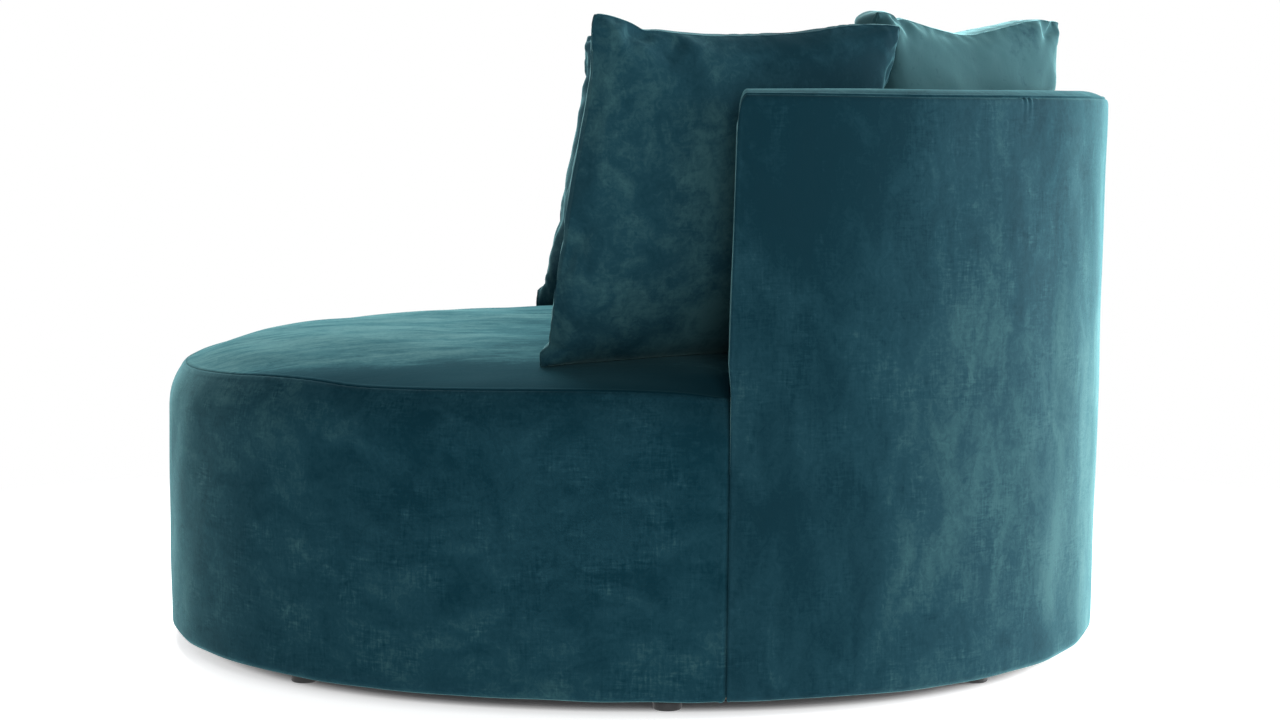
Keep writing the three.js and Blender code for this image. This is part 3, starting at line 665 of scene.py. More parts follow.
# Each sweep of painted light and shade: its direction, its start and end along it, and the change in tone.
# The back: painted shade darker towards its top, painted light lighter towards its rear. The seat: painted
# shade at its left end by the back's front and the left cushion, and darker towards its rear. The cushions:
# painted shade over their upper rear, and painted light lighter towards the rear.
BACK_PAINTED_LIGHT_SWEEPS = [(UP, 0.32, 0.74, -0.20), (REARWARD, 0.18, 0.50, 0.22)]
SEAT_PAINTED_SHADE_SWEEPS = [((1.0, -0.25, 0.0), 0.53, 0.64, -0.90), (REARWARD, -0.32, 0.08, -0.50)]
CUSHION_PAINTED_LIGHT_SWEEPS = [((0.0, 1.0, 0.6), 0.50, 0.70, -0.45), (REARWARD, 0.00, 0.10, 0.14)]
# Each cloth of the same velvet: which way its nap is drawn out, its shade, and its painted light and shade
# sweeps
VELVET = velvet("teal_velvet", nap=(1.6, 1.6, 1.0), shade=-0.10, gloss=0.02)
BACK_VELVET = velvet(
    "teal_velvet_back",
    nap=(1.0, 1.0, 2.0),
    shade=-0.12,
    mark=0.8,
    painted_light_sweeps=BACK_PAINTED_LIGHT_SWEEPS,
    sheen=0.34,
    gloss=0.05,
)
STRIP_VELVET = velvet("teal_velvet_strip", nap=(1.0, 1.0, 1.0), shade=-0.15, mark=0.6, sheen=0.10, gloss=0.02)
SEAT_VELVET = velvet(
    "teal_velvet_seat",
    nap=(0.4, 1.0, 1.0),
    shade=0.16,
    mark=0.6,
    painted_light_sweeps=SEAT_PAINTED_SHADE_SWEEPS,
    sheen=0.11,
    gloss=0.004,
)
CUSHION_VELVET = velvet(
    "teal_velvet_cushion", nap=(0.8, 0.8, 0.8), shade=0.02, mark=0.4, painted_light_sweeps=CUSHION_PAINTED_LIGHT_SWEEPS
)
# The rear cushion's velvet is a lighter copy of the cushions' velvet: its raised tone is painted light, for
# the light it faces.
REAR_CUSHION_PAINTED_LIGHT_VELVET = velvet(
    "teal_velvet_rear_cushion_painted_light", nap=(0.6, 0.6, 0.6), shade=0.45, mark=0.4, sheen=0.85, gloss=0.06
)
FOAM = foam_finish()
FIBRE = fibre_finish()
PLYWOOD = plywood_finish()
WEBBING = woven_finish("elastic_webbing", thread=0.003, dark=(0.10, 0.075, 0.055), light=(0.26, 0.21, 0.16))
LINING = lining_finish()
PLASTIC = plastic_finish()
ZIP_TAPE = woven_finish("zip_tape", thread=0.0012, dark=(0.010, 0.045, 0.060), light=(0.022, 0.080, 0.100))
ZIP_METAL = metal_finish()


# Covers

CORNER_ROUND = 0.010
CORNER_DROP = 0.034
CORNER_START = 0.58
END_ROLL = 0.006
END_RIDGE = 0.0012
END_RIDGE_WIDTH = 0.004
END_TUCK = 0.003
BORDER_END_PLAY = 0.0006
BORDER_TUCK_TURN = 0.0028
SEAM_DEPTH = 0.0011
BACK_SEAM_DEPTH = 0.0010
BACK_END_LIP = 0.0007
BACK_END_ROLL = 0.003
BACK_INNER_TURN_PLAY = 0.003
TOP_SEAM_LIFT = 0.0032
TOP_SEAM_REACH = 0.30
GATHERED_TURNS = (-math.pi / 4, math.pi / 4)
GATHERED_WIDTH = 0.022
GATHERED_SHARE = 2.0
STRIP_STEP = 0.004
STRIP_SWELL_FADE = 0.02
STRIP_SEAM_DEPTH = 0.0020
STRIP_SEAM_LIP = 0.0010
STRIP_ALLOWANCE = 0.004


def from_ends(places):
    """How far each place lies from the nearer end of its line."""
    return np.minimum(places, places[-1] - places)


def seam_rise(y):
    """How far the seat's seam runs over or under its height at places from front to rear."""
    share = (np.asarray(y) + FRONT_REACH) / (FRONT_REACH + BACK_FRONT_Y)
    return between_points(share, len(SEAM_LINE)) @ np.array(SEAM_LINE)


def following_seam(line, turns):
    """The reshaping that lets the border's shoulder follow the rise of its seam."""
    up = smooth((line[None, :, 1] - SEAT_SHOULDER) / (SEAT_SEAM - SEAT_SHOULDER))
    run = seam_rise(plan_point(turns, SEAM_INSET, 0.0)[:, 1])[:, None]
    return lambda inset, z: (inset, z + run * up)


def add_cover(name, line, outward, turns, rise, reshape, finish, node, fill):
    """A cover swept round the plan: an outer and an inner face, closed all round."""
    outer, inner = (swept(line, outward, turns, rise - depth, reshape) for depth in (0, COVER))
    dress(shell(name, outer, inner, finish), "velvet", node, fill=fill)


def add_border():
    """The velvet wall round the front of the seat, rolled in and tucked where it meets the back."""
    first = END_TURN + BORDER_END_PLAY
    last = 2 * math.pi - first
    turns, along = round_plan(first, last, [first, last])
    line, outward, places = section_line(border_line(), [1])
    off_seam = (places[-1] - places)[None, :]
    off_end = from_ends(along)[:, None]
    rise = uneven("border", along, places, off_seam, off_end)
    rise = rise + seam_relief(off_seam, SEAM_DEPTH) + gathers(along[:, None], off_seam, *GATHERS["border"])
    ridge = np.exp(-(((off_end - END_ROLL) / END_RIDGE_WIDTH) ** 2))
    rise = rise - rolled_in(off_end, END_ROLL) + END_RIDGE * ridge - END_TUCK * (off_end == 0)
    turns[0] -= BORDER_TUCK_TURN
    turns[-1] += BORDER_TUCK_TURN
    reshape = following_seam(line, turns)
    add_cover("seat_border", line, outward, turns, rise, reshape, VELVET, "seat_border_cover", 0.9)


def corner_drop(off_end):
    """How far the back's top runs down towards its rounded front corner."""
    left = np.clip(1 - off_end / CORNER_ROUND, 0, 1)
    return CORNER_DROP * (1 - np.sqrt(1 - left**2))


def cornered(off_end):
    """The reshaping that rounds the front corners of the back's top."""
    lift = TOP_SEAM_LIFT * (1 - smooth(off_end / TOP_SEAM_REACH))

    def reshape(inset, z):
        up = smooth((z - CORNER_START) / (BACK_TOP - CORNER_START))
        below_top = np.minimum(1, (BACK_TOP - z) / BACK_CROWN)
        near_top = smooth((z - BACK_SHOULDER_Z + BACK_SHOULDER) / BACK_SHOULDER)
        return inset, z - corner_drop(off_end) * up + lift * below_top * near_top

    return reshape


def back_turns(inset_ends, sewn=()):
    """Turns round the back from end to end, drawn in a little at its ends."""
    first = -END_TURN + inset_ends
    return round_plan(first, -first, [first, *sewn, -first])


def add_back_outer():
    """The outside of the back, a little gathered at its top where the plan bends most."""
    turns, along = back_turns(0.0, GATHERED_TURNS)
    line, outward, places = section_line(np.concatenate([hem_line(), back_shoulder_line()]), [1])
    off_seam = (places[-1] - places)[None, :]
    off_end = from_ends(along)[:, None]
    gathered = np.interp(GATHERED_TURNS, turns, along)
    off_gathered = np.min([np.abs(along - place) for place in gathered], axis=0)[:, None]
    rise = uneven("back_outer", along, places, off_seam, off_end)
    rise = rise + seam_relief(off_seam, BACK_SEAM_DEPTH, 0.0)
    near = np.exp(-((off_gathered / GATHERED_WIDTH) ** 2))
    rise = rise + near * gathers(along[:, None], off_seam, *GATHERS["back_outer"], GATHERED_SHARE)
    rise = rise + seam_relief(off_end, 0.0, BACK_END_LIP, BACK_END_ROLL) - rolled_in(off_end, BACK_END_ROLL)
    reshape = cornered(off_end)
    add_cover("back_outside", line, outward, turns, rise, reshape, BACK_VELVET, "back_outer_cover", 0.9)


def add_back_inner():
    """The inside of the back, from the seat's platform up to the inner seam."""
    turns, along = back_turns(BACK_INNER_TURN_PLAY)
    wall = [[BACK_THICKNESS, SEAT_RING_TOP + GAP]]
    section = np.concatenate([mirrored_line(back_shoulder_line()), wall])
    line, outward, places = section_line(section, [0])
    off_seam = places[None, :]
    off_end = from_ends(along)[:, None]
    rise = uneven("back_inner", along, places, off_seam, off_end)
    rise = rise + seam_relief(off_seam) - rolled_in(off_end, BACK_END_ROLL)
    reshape = cornered(off_end)
    add_cover("back_inside", line, outward, turns, rise, reshape, BACK_VELVET, "back_inner_cover", 0.85)


def add_back_top():
    """The strip over the top of the back, sunk into the seam at either side."""
    turns, along = back_turns(0.0)
    line, outward, places = section_line(crown_line(), [0, 1], STRIP_STEP)
    off_seam = from_ends(places)[None, :]
    rise = swell(along[:, None], places[None, :], *UNEVEN["back_top"]) * smooth(off_seam / STRIP_SWELL_FADE)
    rise = rise + seam_relief(off_seam, STRIP_SEAM_DEPTH, STRIP_SEAM_LIP, STRIP_ALLOWANCE)
    reshape = cornered(from_ends(along)[:, None])
    add_cover("back_top_strip", line, outward, turns, rise, reshape, STRIP_VELVET, "back_top_cover", 0.9)


FACING_BULGE = 0.0015
FACING_ROWS = 150
FACING_COLUMNS = 34
# How closely the facing's points crowd towards its side seams and its top
FACING_SIDE_CROWDING = 1.5
FACING_TOP_CROWDING = 1.3
FACING_FLATNESS = 6
FACING_TOP_SHARE = 0.03
FACING_LOW_REACH = 0.03
FACING_LOW_SHARE = 0.4


def add_facing(side):
    """The strip that closes a front end of the back, a little proud between its seams."""
    name = "left" if side > 0 else "right"
    across = np.linspace(-1, 1, FACING_COLUMNS)
    across = np.sign(across) * (1 - (1 - np.abs(across)) ** FACING_SIDE_CROWDING)
    inset = BACK_THICKNESS / 2 * (1 + across)
    outline = np.concatenate([back_shoulder_line(), crown_line(), mirrored_line(back_shoulder_line())])
    tops = np.interp(inset, outline[:, 0], outline[:, 1]) - CORNER_DROP
    up = np.linspace(0, 1, FACING_ROWS)
    up = 1 - (1 - up) ** FACING_TOP_CROWDING
    z = PLATFORM + up[:, None] * (tops[None, :] - PLATFORM)
    points = plan_point(end_turn_at(z, inset), np.broadcast_to(inset, z.shape), z)
    points[..., 0] *= side
    sides = 1 - across[None, :] ** FACING_FLATNESS
    top = 1 - smooth((up[:, None] - (1 - FACING_TOP_SHARE)) / FACING_TOP_SHARE)
    low = smooth((z - SEAT_SEAM) / FACING_LOW_REACH)
    bulge = FACING_BULGE * sides * top * (FACING_LOW_SHARE + (1 - FACING_LOW_SHARE) * low)
    bulge = bulge + swell(z, 0 * z, *UNEVEN[f"{name}_facing"]) * sides * top
    front = points - np.stack([0 * z, bulge, 0 * z], axis=-1)
    rear = front + np.array([0, COVER, 0])
    outer, inner = (front, rear) if side < 0 else (front[:, ::-1], rear[:, ::-1])
    piece = shell(f"back_end_{name}", outer, inner, BACK_VELVET)
    dress(piece, "velvet", f"back_facing_{name}", fill=0.85)


TUCK_ROUND = 0.018
SEAT_END_PLAY = 0.0013
SEAT_TOP_PLAY = 0.0009
SEAT_RINGS = 90
SEAT_RIM_STEP_SHARE = 0.0022
SEAT_RIM_SHARE = 0.010
SEAT_FRONT_STEP = 0.0096
SEAT_REAR_STEP = 0.0112
SEAT_END_STEP = 0.0026
SEAT_SEAM_LIP = 0.0003
SEAT_ALLOWANCE = 0.005
SEAT_SWELL_FADE = 0.06
SEAM_RUN_REACH = 0.08
FACING_TUCK = 0.004
FACING_TUCK_REACH = 0.012


def add_seat_top():
    """The crowned top of the seat: sewn to the border in front and tucked down along the back."""
    first = float(end_turn_at(SEAT_SEAM, SEAM_INSET)) + SEAT_END_PLAY
    last = 2 * math.pi - first
    front, _ = round_plan(first, last, [first, last], SEAT_FRONT_STEP, SEAT_END_STEP)
    inner = float(end_turn_at(SEAT_SEAM, SEAT_WALL_INSET)) + SEAT_END_PLAY
    rear, _ = round_plan(-inner, inner, [-inner, inner], SEAT_REAR_STEP, SEAT_END_STEP)
    turns = np.concatenate([front, rear])
    is_front = (np.arange(len(turns)) < len(front))[:, None]
    inset = np.where(is_front[:, 0], SEAM_INSET + SEAT_TOP_PLAY, SEAT_WALL_INSET)
    edge = plan_point(turns, inset, 0.0)[:, :2]
    reach = np.linalg.norm(edge - CENTRE, axis=1)
    share = graded(1.0, 1 / SEAT_RINGS, SEAT_RIM_STEP_SHARE, [1.0], SEAT_RIM_SHARE)[1:]
    flat = CENTRE + (edge - CENTRE)[:, None, :] * share[None, :, None]
    off_edge = (1 - share)[None, :] * reach[:, None]
    x, y = flat[..., 0], flat[..., 1]
    sewn = seam_relief(off_edge, SEAM_DEPTH, SEAT_SEAM_LIP, SEAT_ALLOWANCE)
    rise = np.where(is_front, sewn, -rolled_in(off_edge, TUCK_ROUND))
    rise = rise + swell(x, y, *UNEVEN["seat"]) * smooth(off_edge / SEAT_SWELL_FADE)
    rise = rise + gathers(lengths(edge)[:, None], off_edge, *GATHERS["seat"]) * is_front
    run = seam_rise(edge[:, 1])[:, None] * smooth(1 - off_edge / SEAM_RUN_REACH) * is_front
    off_facing = np.hypot(y - BACK_FRONT_Y, np.minimum(0, np.abs(x) - HALF_WIDTH + BACK_THICKNESS))
    tuck = FACING_TUCK * np.exp(-off_facing / FACING_TUCK_REACH)
    z = seat_height(x, y) + rise + run - tuck
    rows, columns = x.shape
    size = rows * columns
    middle = seat_height(*CENTRE)
    faces = grid_faces(rows, columns, 0, True) + grid_faces(rows, columns, size, True, True)
    for row in range(rows):
        after = (row + 1) % rows
        rim, next_rim = row * columns + columns - 1, after * columns + columns - 1
        faces.append([rim, rim + size, next_rim + size, next_rim])
        faces.append([2 * size, row * columns, after * columns])
        faces.append([2 * size + 1, after * columns + size, row * columns + size])
    sheets = [raked(x, y, z - depth).reshape(-1, 3) for depth in (0, COVER)]
    poles = [[*CENTRE, middle], [*CENTRE, middle - COVER]]
    piece = make("seat_top", np.concatenate([*sheets, poles]), faces, SEAT_VELVET)
    dress(piece, "velvet", "seat_top_cover", fill=0.85)


def dress(piece, slot_name, *nodes, body="chair", fill=None):
    """Puts a piece on its body in place of the solids that it stands for."""
    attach(piece, body)
    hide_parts(*nodes)


# Foam and wadding inside

HIDDEN_STEP = 0.012
FOAM_ROUND = 0.003
ROUND_STEPS = 5
BOARD_EDGE = 0.0006
END_PLAY = 0.014
WADDING_PLAY = 0.0012
SEAT_FOAM_DEPTH = OUTER_SKIN_INSET
SEAT_FOAM_ROUND = 0.020
SEAT_FOAM_END_PLAY = 0.014
# The rounded edges of the foam core: how far each ring is drawn in, and how far it lies off the face
CORE_EDGE = ((0.006, 0.0), (0.001, 0.003), (0.0, 0.008))
CORE_LOW_EDGE = ((0.0, 0.006), (0.002, 0.001), (0.006, 0.0))
TOPPER_PLAY = 0.0045
# Shares of the topper's plan where its rings lie, and where its rim starts to follow the seam's run
TOPPER_SHARES = (0.10, 0.97)
TOPPER_RINGS = 14
TOPPER_RUN_START_SHARE = 0.75
TOPPER_EDGE_STEPS = 6
TOPPER_EDGE_TURN = 0.42 * math.pi
TOPPER_EDGE_PLAY = 0.001


def rounded_block(outer_inset, inner_inset, bottom, top, radius=FOAM_ROUND):
    """A rectangle of the section plane with rounded corners, as a closed line."""
    corners = [
        (outer_inset + radius, top - radius, math.pi),
        (inner_inset - radius, top - radius, math.pi / 2),
        (inner_inset - radius, bottom + radius, 0.0),
        (outer_inset + radius, bottom + radius, -math.pi / 2),
    ]
    line = []
    for inset, z, start in corners:
        for turn in np.linspace(start, start - math.pi / 2, ROUND_STEPS):
            line.append([inset + radius * math.cos(turn), z + radius * math.sin(turn)])
    return np.array(line)


def solid_sweep(name, outline, turns, finish):
    """A closed outline of the section plane carried round the plan, with flat ends."""
    inset, z = outline[None, :, 0], outline[None, :, 1]
    grid = plan_point(leaned(turns[:, None], z, inset), inset, z)
    rows, columns = grid.shape[:2]
    faces = []
    for row in range(rows - 1):
        here, beyond = row * columns, (row + 1) * columns
        for column in range(columns):
            after = (column + 1) % columns
            faces.append([here + column, here + after, beyond + after, beyond + column])
    faces.append(list(range(columns))[::-1])
    faces.append([(rows - 1) * columns + c for c in range(columns)])
    return make(name, grid.reshape(-1, 3), faces, finish)


def hidden_turns(first, last):
    """Turns for a piece that its cover hides, evenly spaced."""
    turns, _ = round_plan(first, last, [first], HIDDEN_STEP, HIDDEN_STEP)
    return turns


def add_swept(name, outline, turns, finish, slot_name, node, fill=None):
    """A solid swept round the plan, in place of one node."""
    dress(solid_sweep(name, outline, turns, finish), slot_name, node, fill=fill)


def add_back_foam():
    """The foam under the covers of the back: outside, inside and over the top."""
    end = END_TURN - END_PLAY / HALF_WIDTH
    turns = hidden_turns(-end, end)
    bottom = UNDERSIDE + HEM_ROUND + GAP
    outer = rounded_block(WADDING_INSET, WADDING_INSET + WADDING, bottom, SKIN_TOP)
    inner_inset = BACK_THICKNESS - WADDING_INSET
    inner = rounded_block(INNER_FOAM_INSET, inner_inset, SEAT_RING_TOP + GAP, SKIN_TOP)
    base = [[WADDING_INSET, SKIN_TOP + GAP], [inner_inset, SKIN_TOP + GAP]]
    crown = [back_shoulder_line(WADDING_INSET), crown_line(WADDING_INSET)[1:-1]]
    top = np.concatenate([base[:1], *crown, mirrored_line(back_shoulder_line(WADDING_INSET)), base[1:]])
    for name, outline in (("outer", outer), ("inner", inner), ("top", top)):
        add_swept(f"{name}_foam", outline, turns, FOAM, "foam", f"back_{name}_foam", 1.0)


def add_back_timber():
    """The bent skins of the back and the rail that joins them along the top."""
    end = END_TURN - END_PLAY / HALF_WIDTH
    turns = hidden_turns(-end, end)
    boards = {
        "outer_skin": (OUTER_SKIN_INSET, OUTER_SKIN_INSET + SKIN, RING_BOTTOM + SKIN_LIFT),
        "inner_skin": (INNER_SKIN_INSET, INNER_SKIN_INSET + SKIN, SEAT_RING_TOP + GAP),
        "top_rail": (OUTER_SKIN_INSET + SKIN + GAP, INNER_SKIN_INSET - GAP, SKIN_TOP - TOP_RAIL),
    }
    for name, sides in boards.items():
        outline = rounded_block(*sides, SKIN_TOP, BOARD_EDGE)
        add_swept(name, outline, turns, PLYWOOD, "plywood", f"back_{name}")


def add_border_wadding():
    """The wadding under the seat border, from above its hem to its seam."""
    end = END_TURN + END_PLAY / HALF_WIDTH
    turns, along = round_plan(end, 2 * math.pi - end, [end], HIDDEN_STEP, HIDDEN_STEP)
    whole = border_line()
    upright = whole[whole[:, 1] > UNDERSIDE + HEM_ROUND - GAP]
    line, outward, _ = section_line(upright, [0], CLOTH_STEP, CLOTH_STEP)
    rise = swell(along[:, None], line[None, :, 1], *UNEVEN["wadding"]) - WADDING_INSET - WADDING_PLAY
    reshape = following_seam(line, turns)
    outer = swept(line, outward, turns, rise, reshape)
    inner = swept(line, outward, turns, rise - WADDING + WADDING_PLAY, reshape)
    dress(shell("border_wadding", outer, inner, FIBRE), "fibre", "border_foam", fill=0.9)


def stacked(name, rings, middles, finish):
    """A closed body skinned over rings of points, closed by a middle point at either end."""
    count = len(rings[0])
    points = np.concatenate([*rings, middles])
    first = len(rings) * count
    last_ring = first - count
    faces = []
    for column in range(count):
        after = (column + 1) % count
        faces.append([first, after, column])
        faces.append([first + 1, last_ring + column, last_ring + after])
        for here in range(0, last_ring, count):
            below = here + count
            faces.append([here + column, here + after, below + after, below + column])
    return make(name, points, faces, finish)


def seat_outline(front_inset, rear_inset, z):
    """The outline of a seat piece at one height: inside the border in front, inside the back behind."""
    end = END_TURN + SEAT_FOAM_END_PLAY
    front = hidden_turns(end, 2 * math.pi - end)
    rear = hidden_turns(-end, end)
    turns = np.concatenate([front, rear])
    inset = np.concatenate([np.full(len(front), front_inset), np.full(len(rear), rear_inset)])
    return plan_point(turns, inset, z)


def add_seat_foam():
    """The firm foam core of the seat and the soft crowned topper on it."""
    edges = [(drawn_in, CORE_TOP - off) for drawn_in, off in CORE_EDGE]
    edges += [(drawn_in, PLATFORM + off) for drawn_in, off in CORE_LOW_EDGE]
    rings = []
    for drawn_in, z in edges:
        rings.append(seat_outline(SEAT_FOAM_DEPTH + drawn_in, SEAT_WALL_INSET + drawn_in, z))
    middles = [[0, WIDEST_Y, CORE_TOP], [0, WIDEST_Y, PLATFORM]]
    dress(stacked("seat_core_foam", rings, middles, FOAM), "foam", "seat_core", fill=1.0)

    rings = []
    under = WADDING_INSET + TOPPER_PLAY
    run_share = TOPPER_SHARES[1] - TOPPER_RUN_START_SHARE
    ring = seat_outline(SEAM_INSET, SEAT_WALL_INSET + SEAT_FOAM_ROUND, 0.0)
    drawn_down = np.minimum(0, seam_rise(ring[:, 1]))
    for share in np.linspace(*TOPPER_SHARES, TOPPER_RINGS):
        flat = CENTRE + (ring[:, :2] - CENTRE) * share
        near_edge = smooth((share - TOPPER_RUN_START_SHARE) / run_share)
        height = seat_height(flat[:, 0], flat[:, 1]) - under + drawn_down * near_edge
        rings.append(raked(flat[:, 0], flat[:, 1], height))
    run = np.minimum(0, seam_rise(seat_outline(SEAM_INSET, SEAT_WALL_INSET, 0.0)[:, 1]))
    edge_height = SEAT_SEAM - under - CORE_TOP + run
    edge_depth = SHOULDER_DEPTH - SEAT_FOAM_DEPTH - TOPPER_EDGE_PLAY
    for turn in np.linspace(TOPPER_EDGE_TURN, 0, TOPPER_EDGE_STEPS):
        front_inset = SHOULDER_DEPTH - edge_depth * math.cos(turn)
        rear_inset = SEAT_WALL_INSET + SEAT_FOAM_ROUND * (1 - math.cos(turn))
        rings.append(seat_outline(front_inset, rear_inset, CORE_TOP + GAP + edge_height * math.sin(turn)))
    middles = [[0, WIDEST_Y, seat_height(*CENTRE) - under], [0, WIDEST_Y, CORE_TOP + GAP]]
    dress(stacked("seat_topper_fibre", rings, middles, FIBRE), "fibre", "seat_topper", fill=0.8)


# Underside

FOOT_RADIUS = 0.019
SPIGOT_RADIUS = 0.006
SPIGOT_LENGTH = 0.014
SPIGOT_EDGE = 0.0015
FOOT_SIDES = 64
FOOT_EDGE = 0.0010
SOLE_RADIUS_SHARE = 0.80
SOLE_ROUND = 0.0028
SOLE_STEPS = 7
# The foot's wall and the groove below its collar: shares of its radius, and heights
FOOT_WALL = ((0.97, 0.0130), (0.93, 0.0140), (0.93, 0.0152), (1.00, 0.0162))
LINING_THICKNESS = 0.0006
LINING_DROP = 0.0004
LINING_SAG = 0.0022
LINING_PATCH_RADIUS = 0.0205
LINING_PATCH_SIDES = 40


def foot_places():
    """Where the glides stand: evenly spaced turns round the plan."""
    turns = 2 * math.pi * np.arange(FOOT_COUNT) / FOOT_COUNT
    return plan_point(turns, FOOT_INSET, 0.0)


def circle(radius, sides):
    """Points round a circle, about the origin of the plan."""
    around = np.linspace(0, 2 * math.pi, sides, endpoint=False)
    return radius * np.stack([np.cos(around), np.sin(around)], axis=-1)


def add_foot(number, place):
    """A moulded glide: rounded sole, a shallow groove below its collar, and the spigot into the ring."""
    sole = FOOT_RADIUS * SOLE_RADIUS_SHARE
    top = FOOT_HEIGHT + SPIGOT_LENGTH
    profile = [(sole, 0.0)]
    for turn in np.linspace(-math.pi / 2, 0, SOLE_STEPS)[1:]:
        profile.append((sole + SOLE_ROUND * math.cos(turn), SOLE_ROUND + SOLE_ROUND * math.sin(turn)))
    profile += [(FOOT_RADIUS * share, z) for share, z in FOOT_WALL]
    profile += [
        (FOOT_RADIUS, FOOT_HEIGHT - FOOT_EDGE),
        (FOOT_RADIUS - FOOT_EDGE, FOOT_HEIGHT),
        (SPIGOT_RADIUS, FOOT_HEIGHT),
        (SPIGOT_RADIUS, top - SPIGOT_EDGE),
        (SPIGOT_RADIUS - SPIGOT_EDGE, top),
    ]
    rings = []
    for radius, z in profile:
        flat = place[:2] + circle(radius, FOOT_SIDES)
        rings.append(np.column_stack([flat, np.full(FOOT_SIDES, z)]))
    middles = [[*place[:2], 0], [*place[:2], top]]
    piece = stacked(f"glide_{number}", rings, middles, PLASTIC)
    dress(piece, "foot_plastic", f"foot_{number}")


def add_lining():
    """The black lining stapled under the chair: one sheet, with a round patch of it at each glide."""
    turns = hidden_turns(0, 2 * math.pi)[:-1]
    patch = circle(LINING_PATCH_RADIUS, LINING_PATCH_SIDES)
    outlines = [plan_point(turns, DUST_COVER_INSET, 0.0)[::-1, :2]]
    outlines += [place[:2] + patch for place in foot_places()]
    flat = np.concatenate(outlines)
    x, y = flat.T
    sag = LINING_SAG * (1 - np.minimum(1, np.hypot(x, y) / HALF_WIDTH) ** 2)
    sag = sag + swell(x, y, *UNEVEN["lining"])
    top = np.column_stack([flat, LINING_TOP - LINING_DROP - sag])
    low = top - [0, 0, LINING_THICKNESS]
    count = len(flat)
    faces, start = [], 0
    for outline in outlines:
        upper = list(range(start, start + len(outline)))
        faces += [upper, [k + count for k in reversed(upper)]]
        for here, after in zip(upper, upper[1:] + upper[:1]):
            faces.append([after, here, here + count, after + count])
        start += len(outline)
    piece = make("black_lining", np.concatenate([top, low]), faces, LINING)
    dress(piece, "lining", "dust_cover")


# Loose cushions

CUT_HALF = 0.250
PLUMPNESS = 0.45
SPREAD_SHARE = 0.9
SIM_CELLS = 56
SIM_FRAMES = 30
SIM_START = 0.014
SIM_EDGE = 0.03
SIM_SEAM_RIPPLE = 0.0016
SIM_SEAM_PITCH = 0.042
# The cloth that the covers are blown up as
SIM_CLOTH = {
    "quality": 6,
    "mass": 0.15,
    "air_damping": 2.0,
    "tension_stiffness": 40,
    "compression_stiffness": 40,
    "shear_stiffness": 14,
    "bending_stiffness": 0.05,
    "tension_damping": 8,
    "compression_damping": 8,
    "shear_damping": 8,
    "bending_damping": 1.5,
    "use_pressure": True,
    "uniform_pressure_force": 2.0,
}
# Slow changes over a cushion: their height, and their shortest and longest waves
SIM_WANDER = (1.2, 0.1, 0.4)
SIM_UNEVEN = (0.0004, 0.05, 0.2)
CUSHION_WANDER = (1.0, 0.05, 0.3)
CUSHION_PATCH = (0.6, 0.08, 0.3)
CUSHION_UNEVEN = (0.0016, 0.06, 0.25)
CUSHION_PATCH_LEVEL = 0.6
FOLD_PASSES = 16
FOLD_SHARE = 1.3
FOLD_LIMIT = 0.003
FOLD_EDGE = 0.02
FOLD_CORNER = 0.10
EDGE_STEP = 0.0015
FACE_STEP = 0.0048
EDGE_REACH = 0.005
# The groove of a cushion's seam and the lips beside it
GROOVE_DEPTH = 0.0018
GROOVE_REACH = 0.0016
LIP_HEIGHT = 0.0010
LIP_PLACE = 0.0036
LIP_REACH = 0.0022
UPPER_SEAM_SHARE = 0.25
LOW_BAND_SHARE = 0.25
# The small puckers beside it, which stop short of the cushion's corners
PUCKER_HEIGHT = 0.0034
PUCKER_PITCH = 0.026
PUCKER_SLANT = 0.5
PUCKER_WANDER_TURN = 2.2
PUCKER_START = 0.004
PUCKER_CORNER = 0.02
PUCKER_CORNER_FADE = 0.05
UNEVEN_START = 0.04
# The creases that run out of each corner
CREASE_HEIGHT = 0.0009
CREASE_REACH = 0.035
CREASE_START = 0.02
CREASE_TURNS = 9
CREASE_SHIFT = 3
NO_ANGLE = 1e-6
# The mouth over the zip: its rows, how fast they close behind it, and how high its walls' rows rise
SLOT_HALF = ZIP_LENGTH / 2 + 0.003
SLOT_DEPTH = 0.0184
SLOT_END = 0.006
SLOT_ROWS = 6
SLOT_FADE_ROWS = 2.0
SLOT_RISES = (SLOT_DEPTH, SLOT_DEPTH / 2, 0.002)
SLOT_SAGS = (0.0, 0.5, 1.0)
PAD_SHARE = 0.86
PAD_PLAY = 0.016
PAD_STEP = 0.012
PAD_EDGE_STEP = 0.006
EAR_REACH = 0.022
EAR_HEIGHT = 0.024
EAR_STEP = 0.009
EAR_SHARPNESS = 16
STUFFED_ROOM = 0.01
SEAM_SET_SHARE = 0.5
SAG_REACH = 0.07
SAG_LIMIT = 0.020
PRESS_STEP = 0.0005
PRESS_STEPS = 60
PRESS_PLAY = 0.0006
FIRST_SEED = 40
SEED_STEP = 10

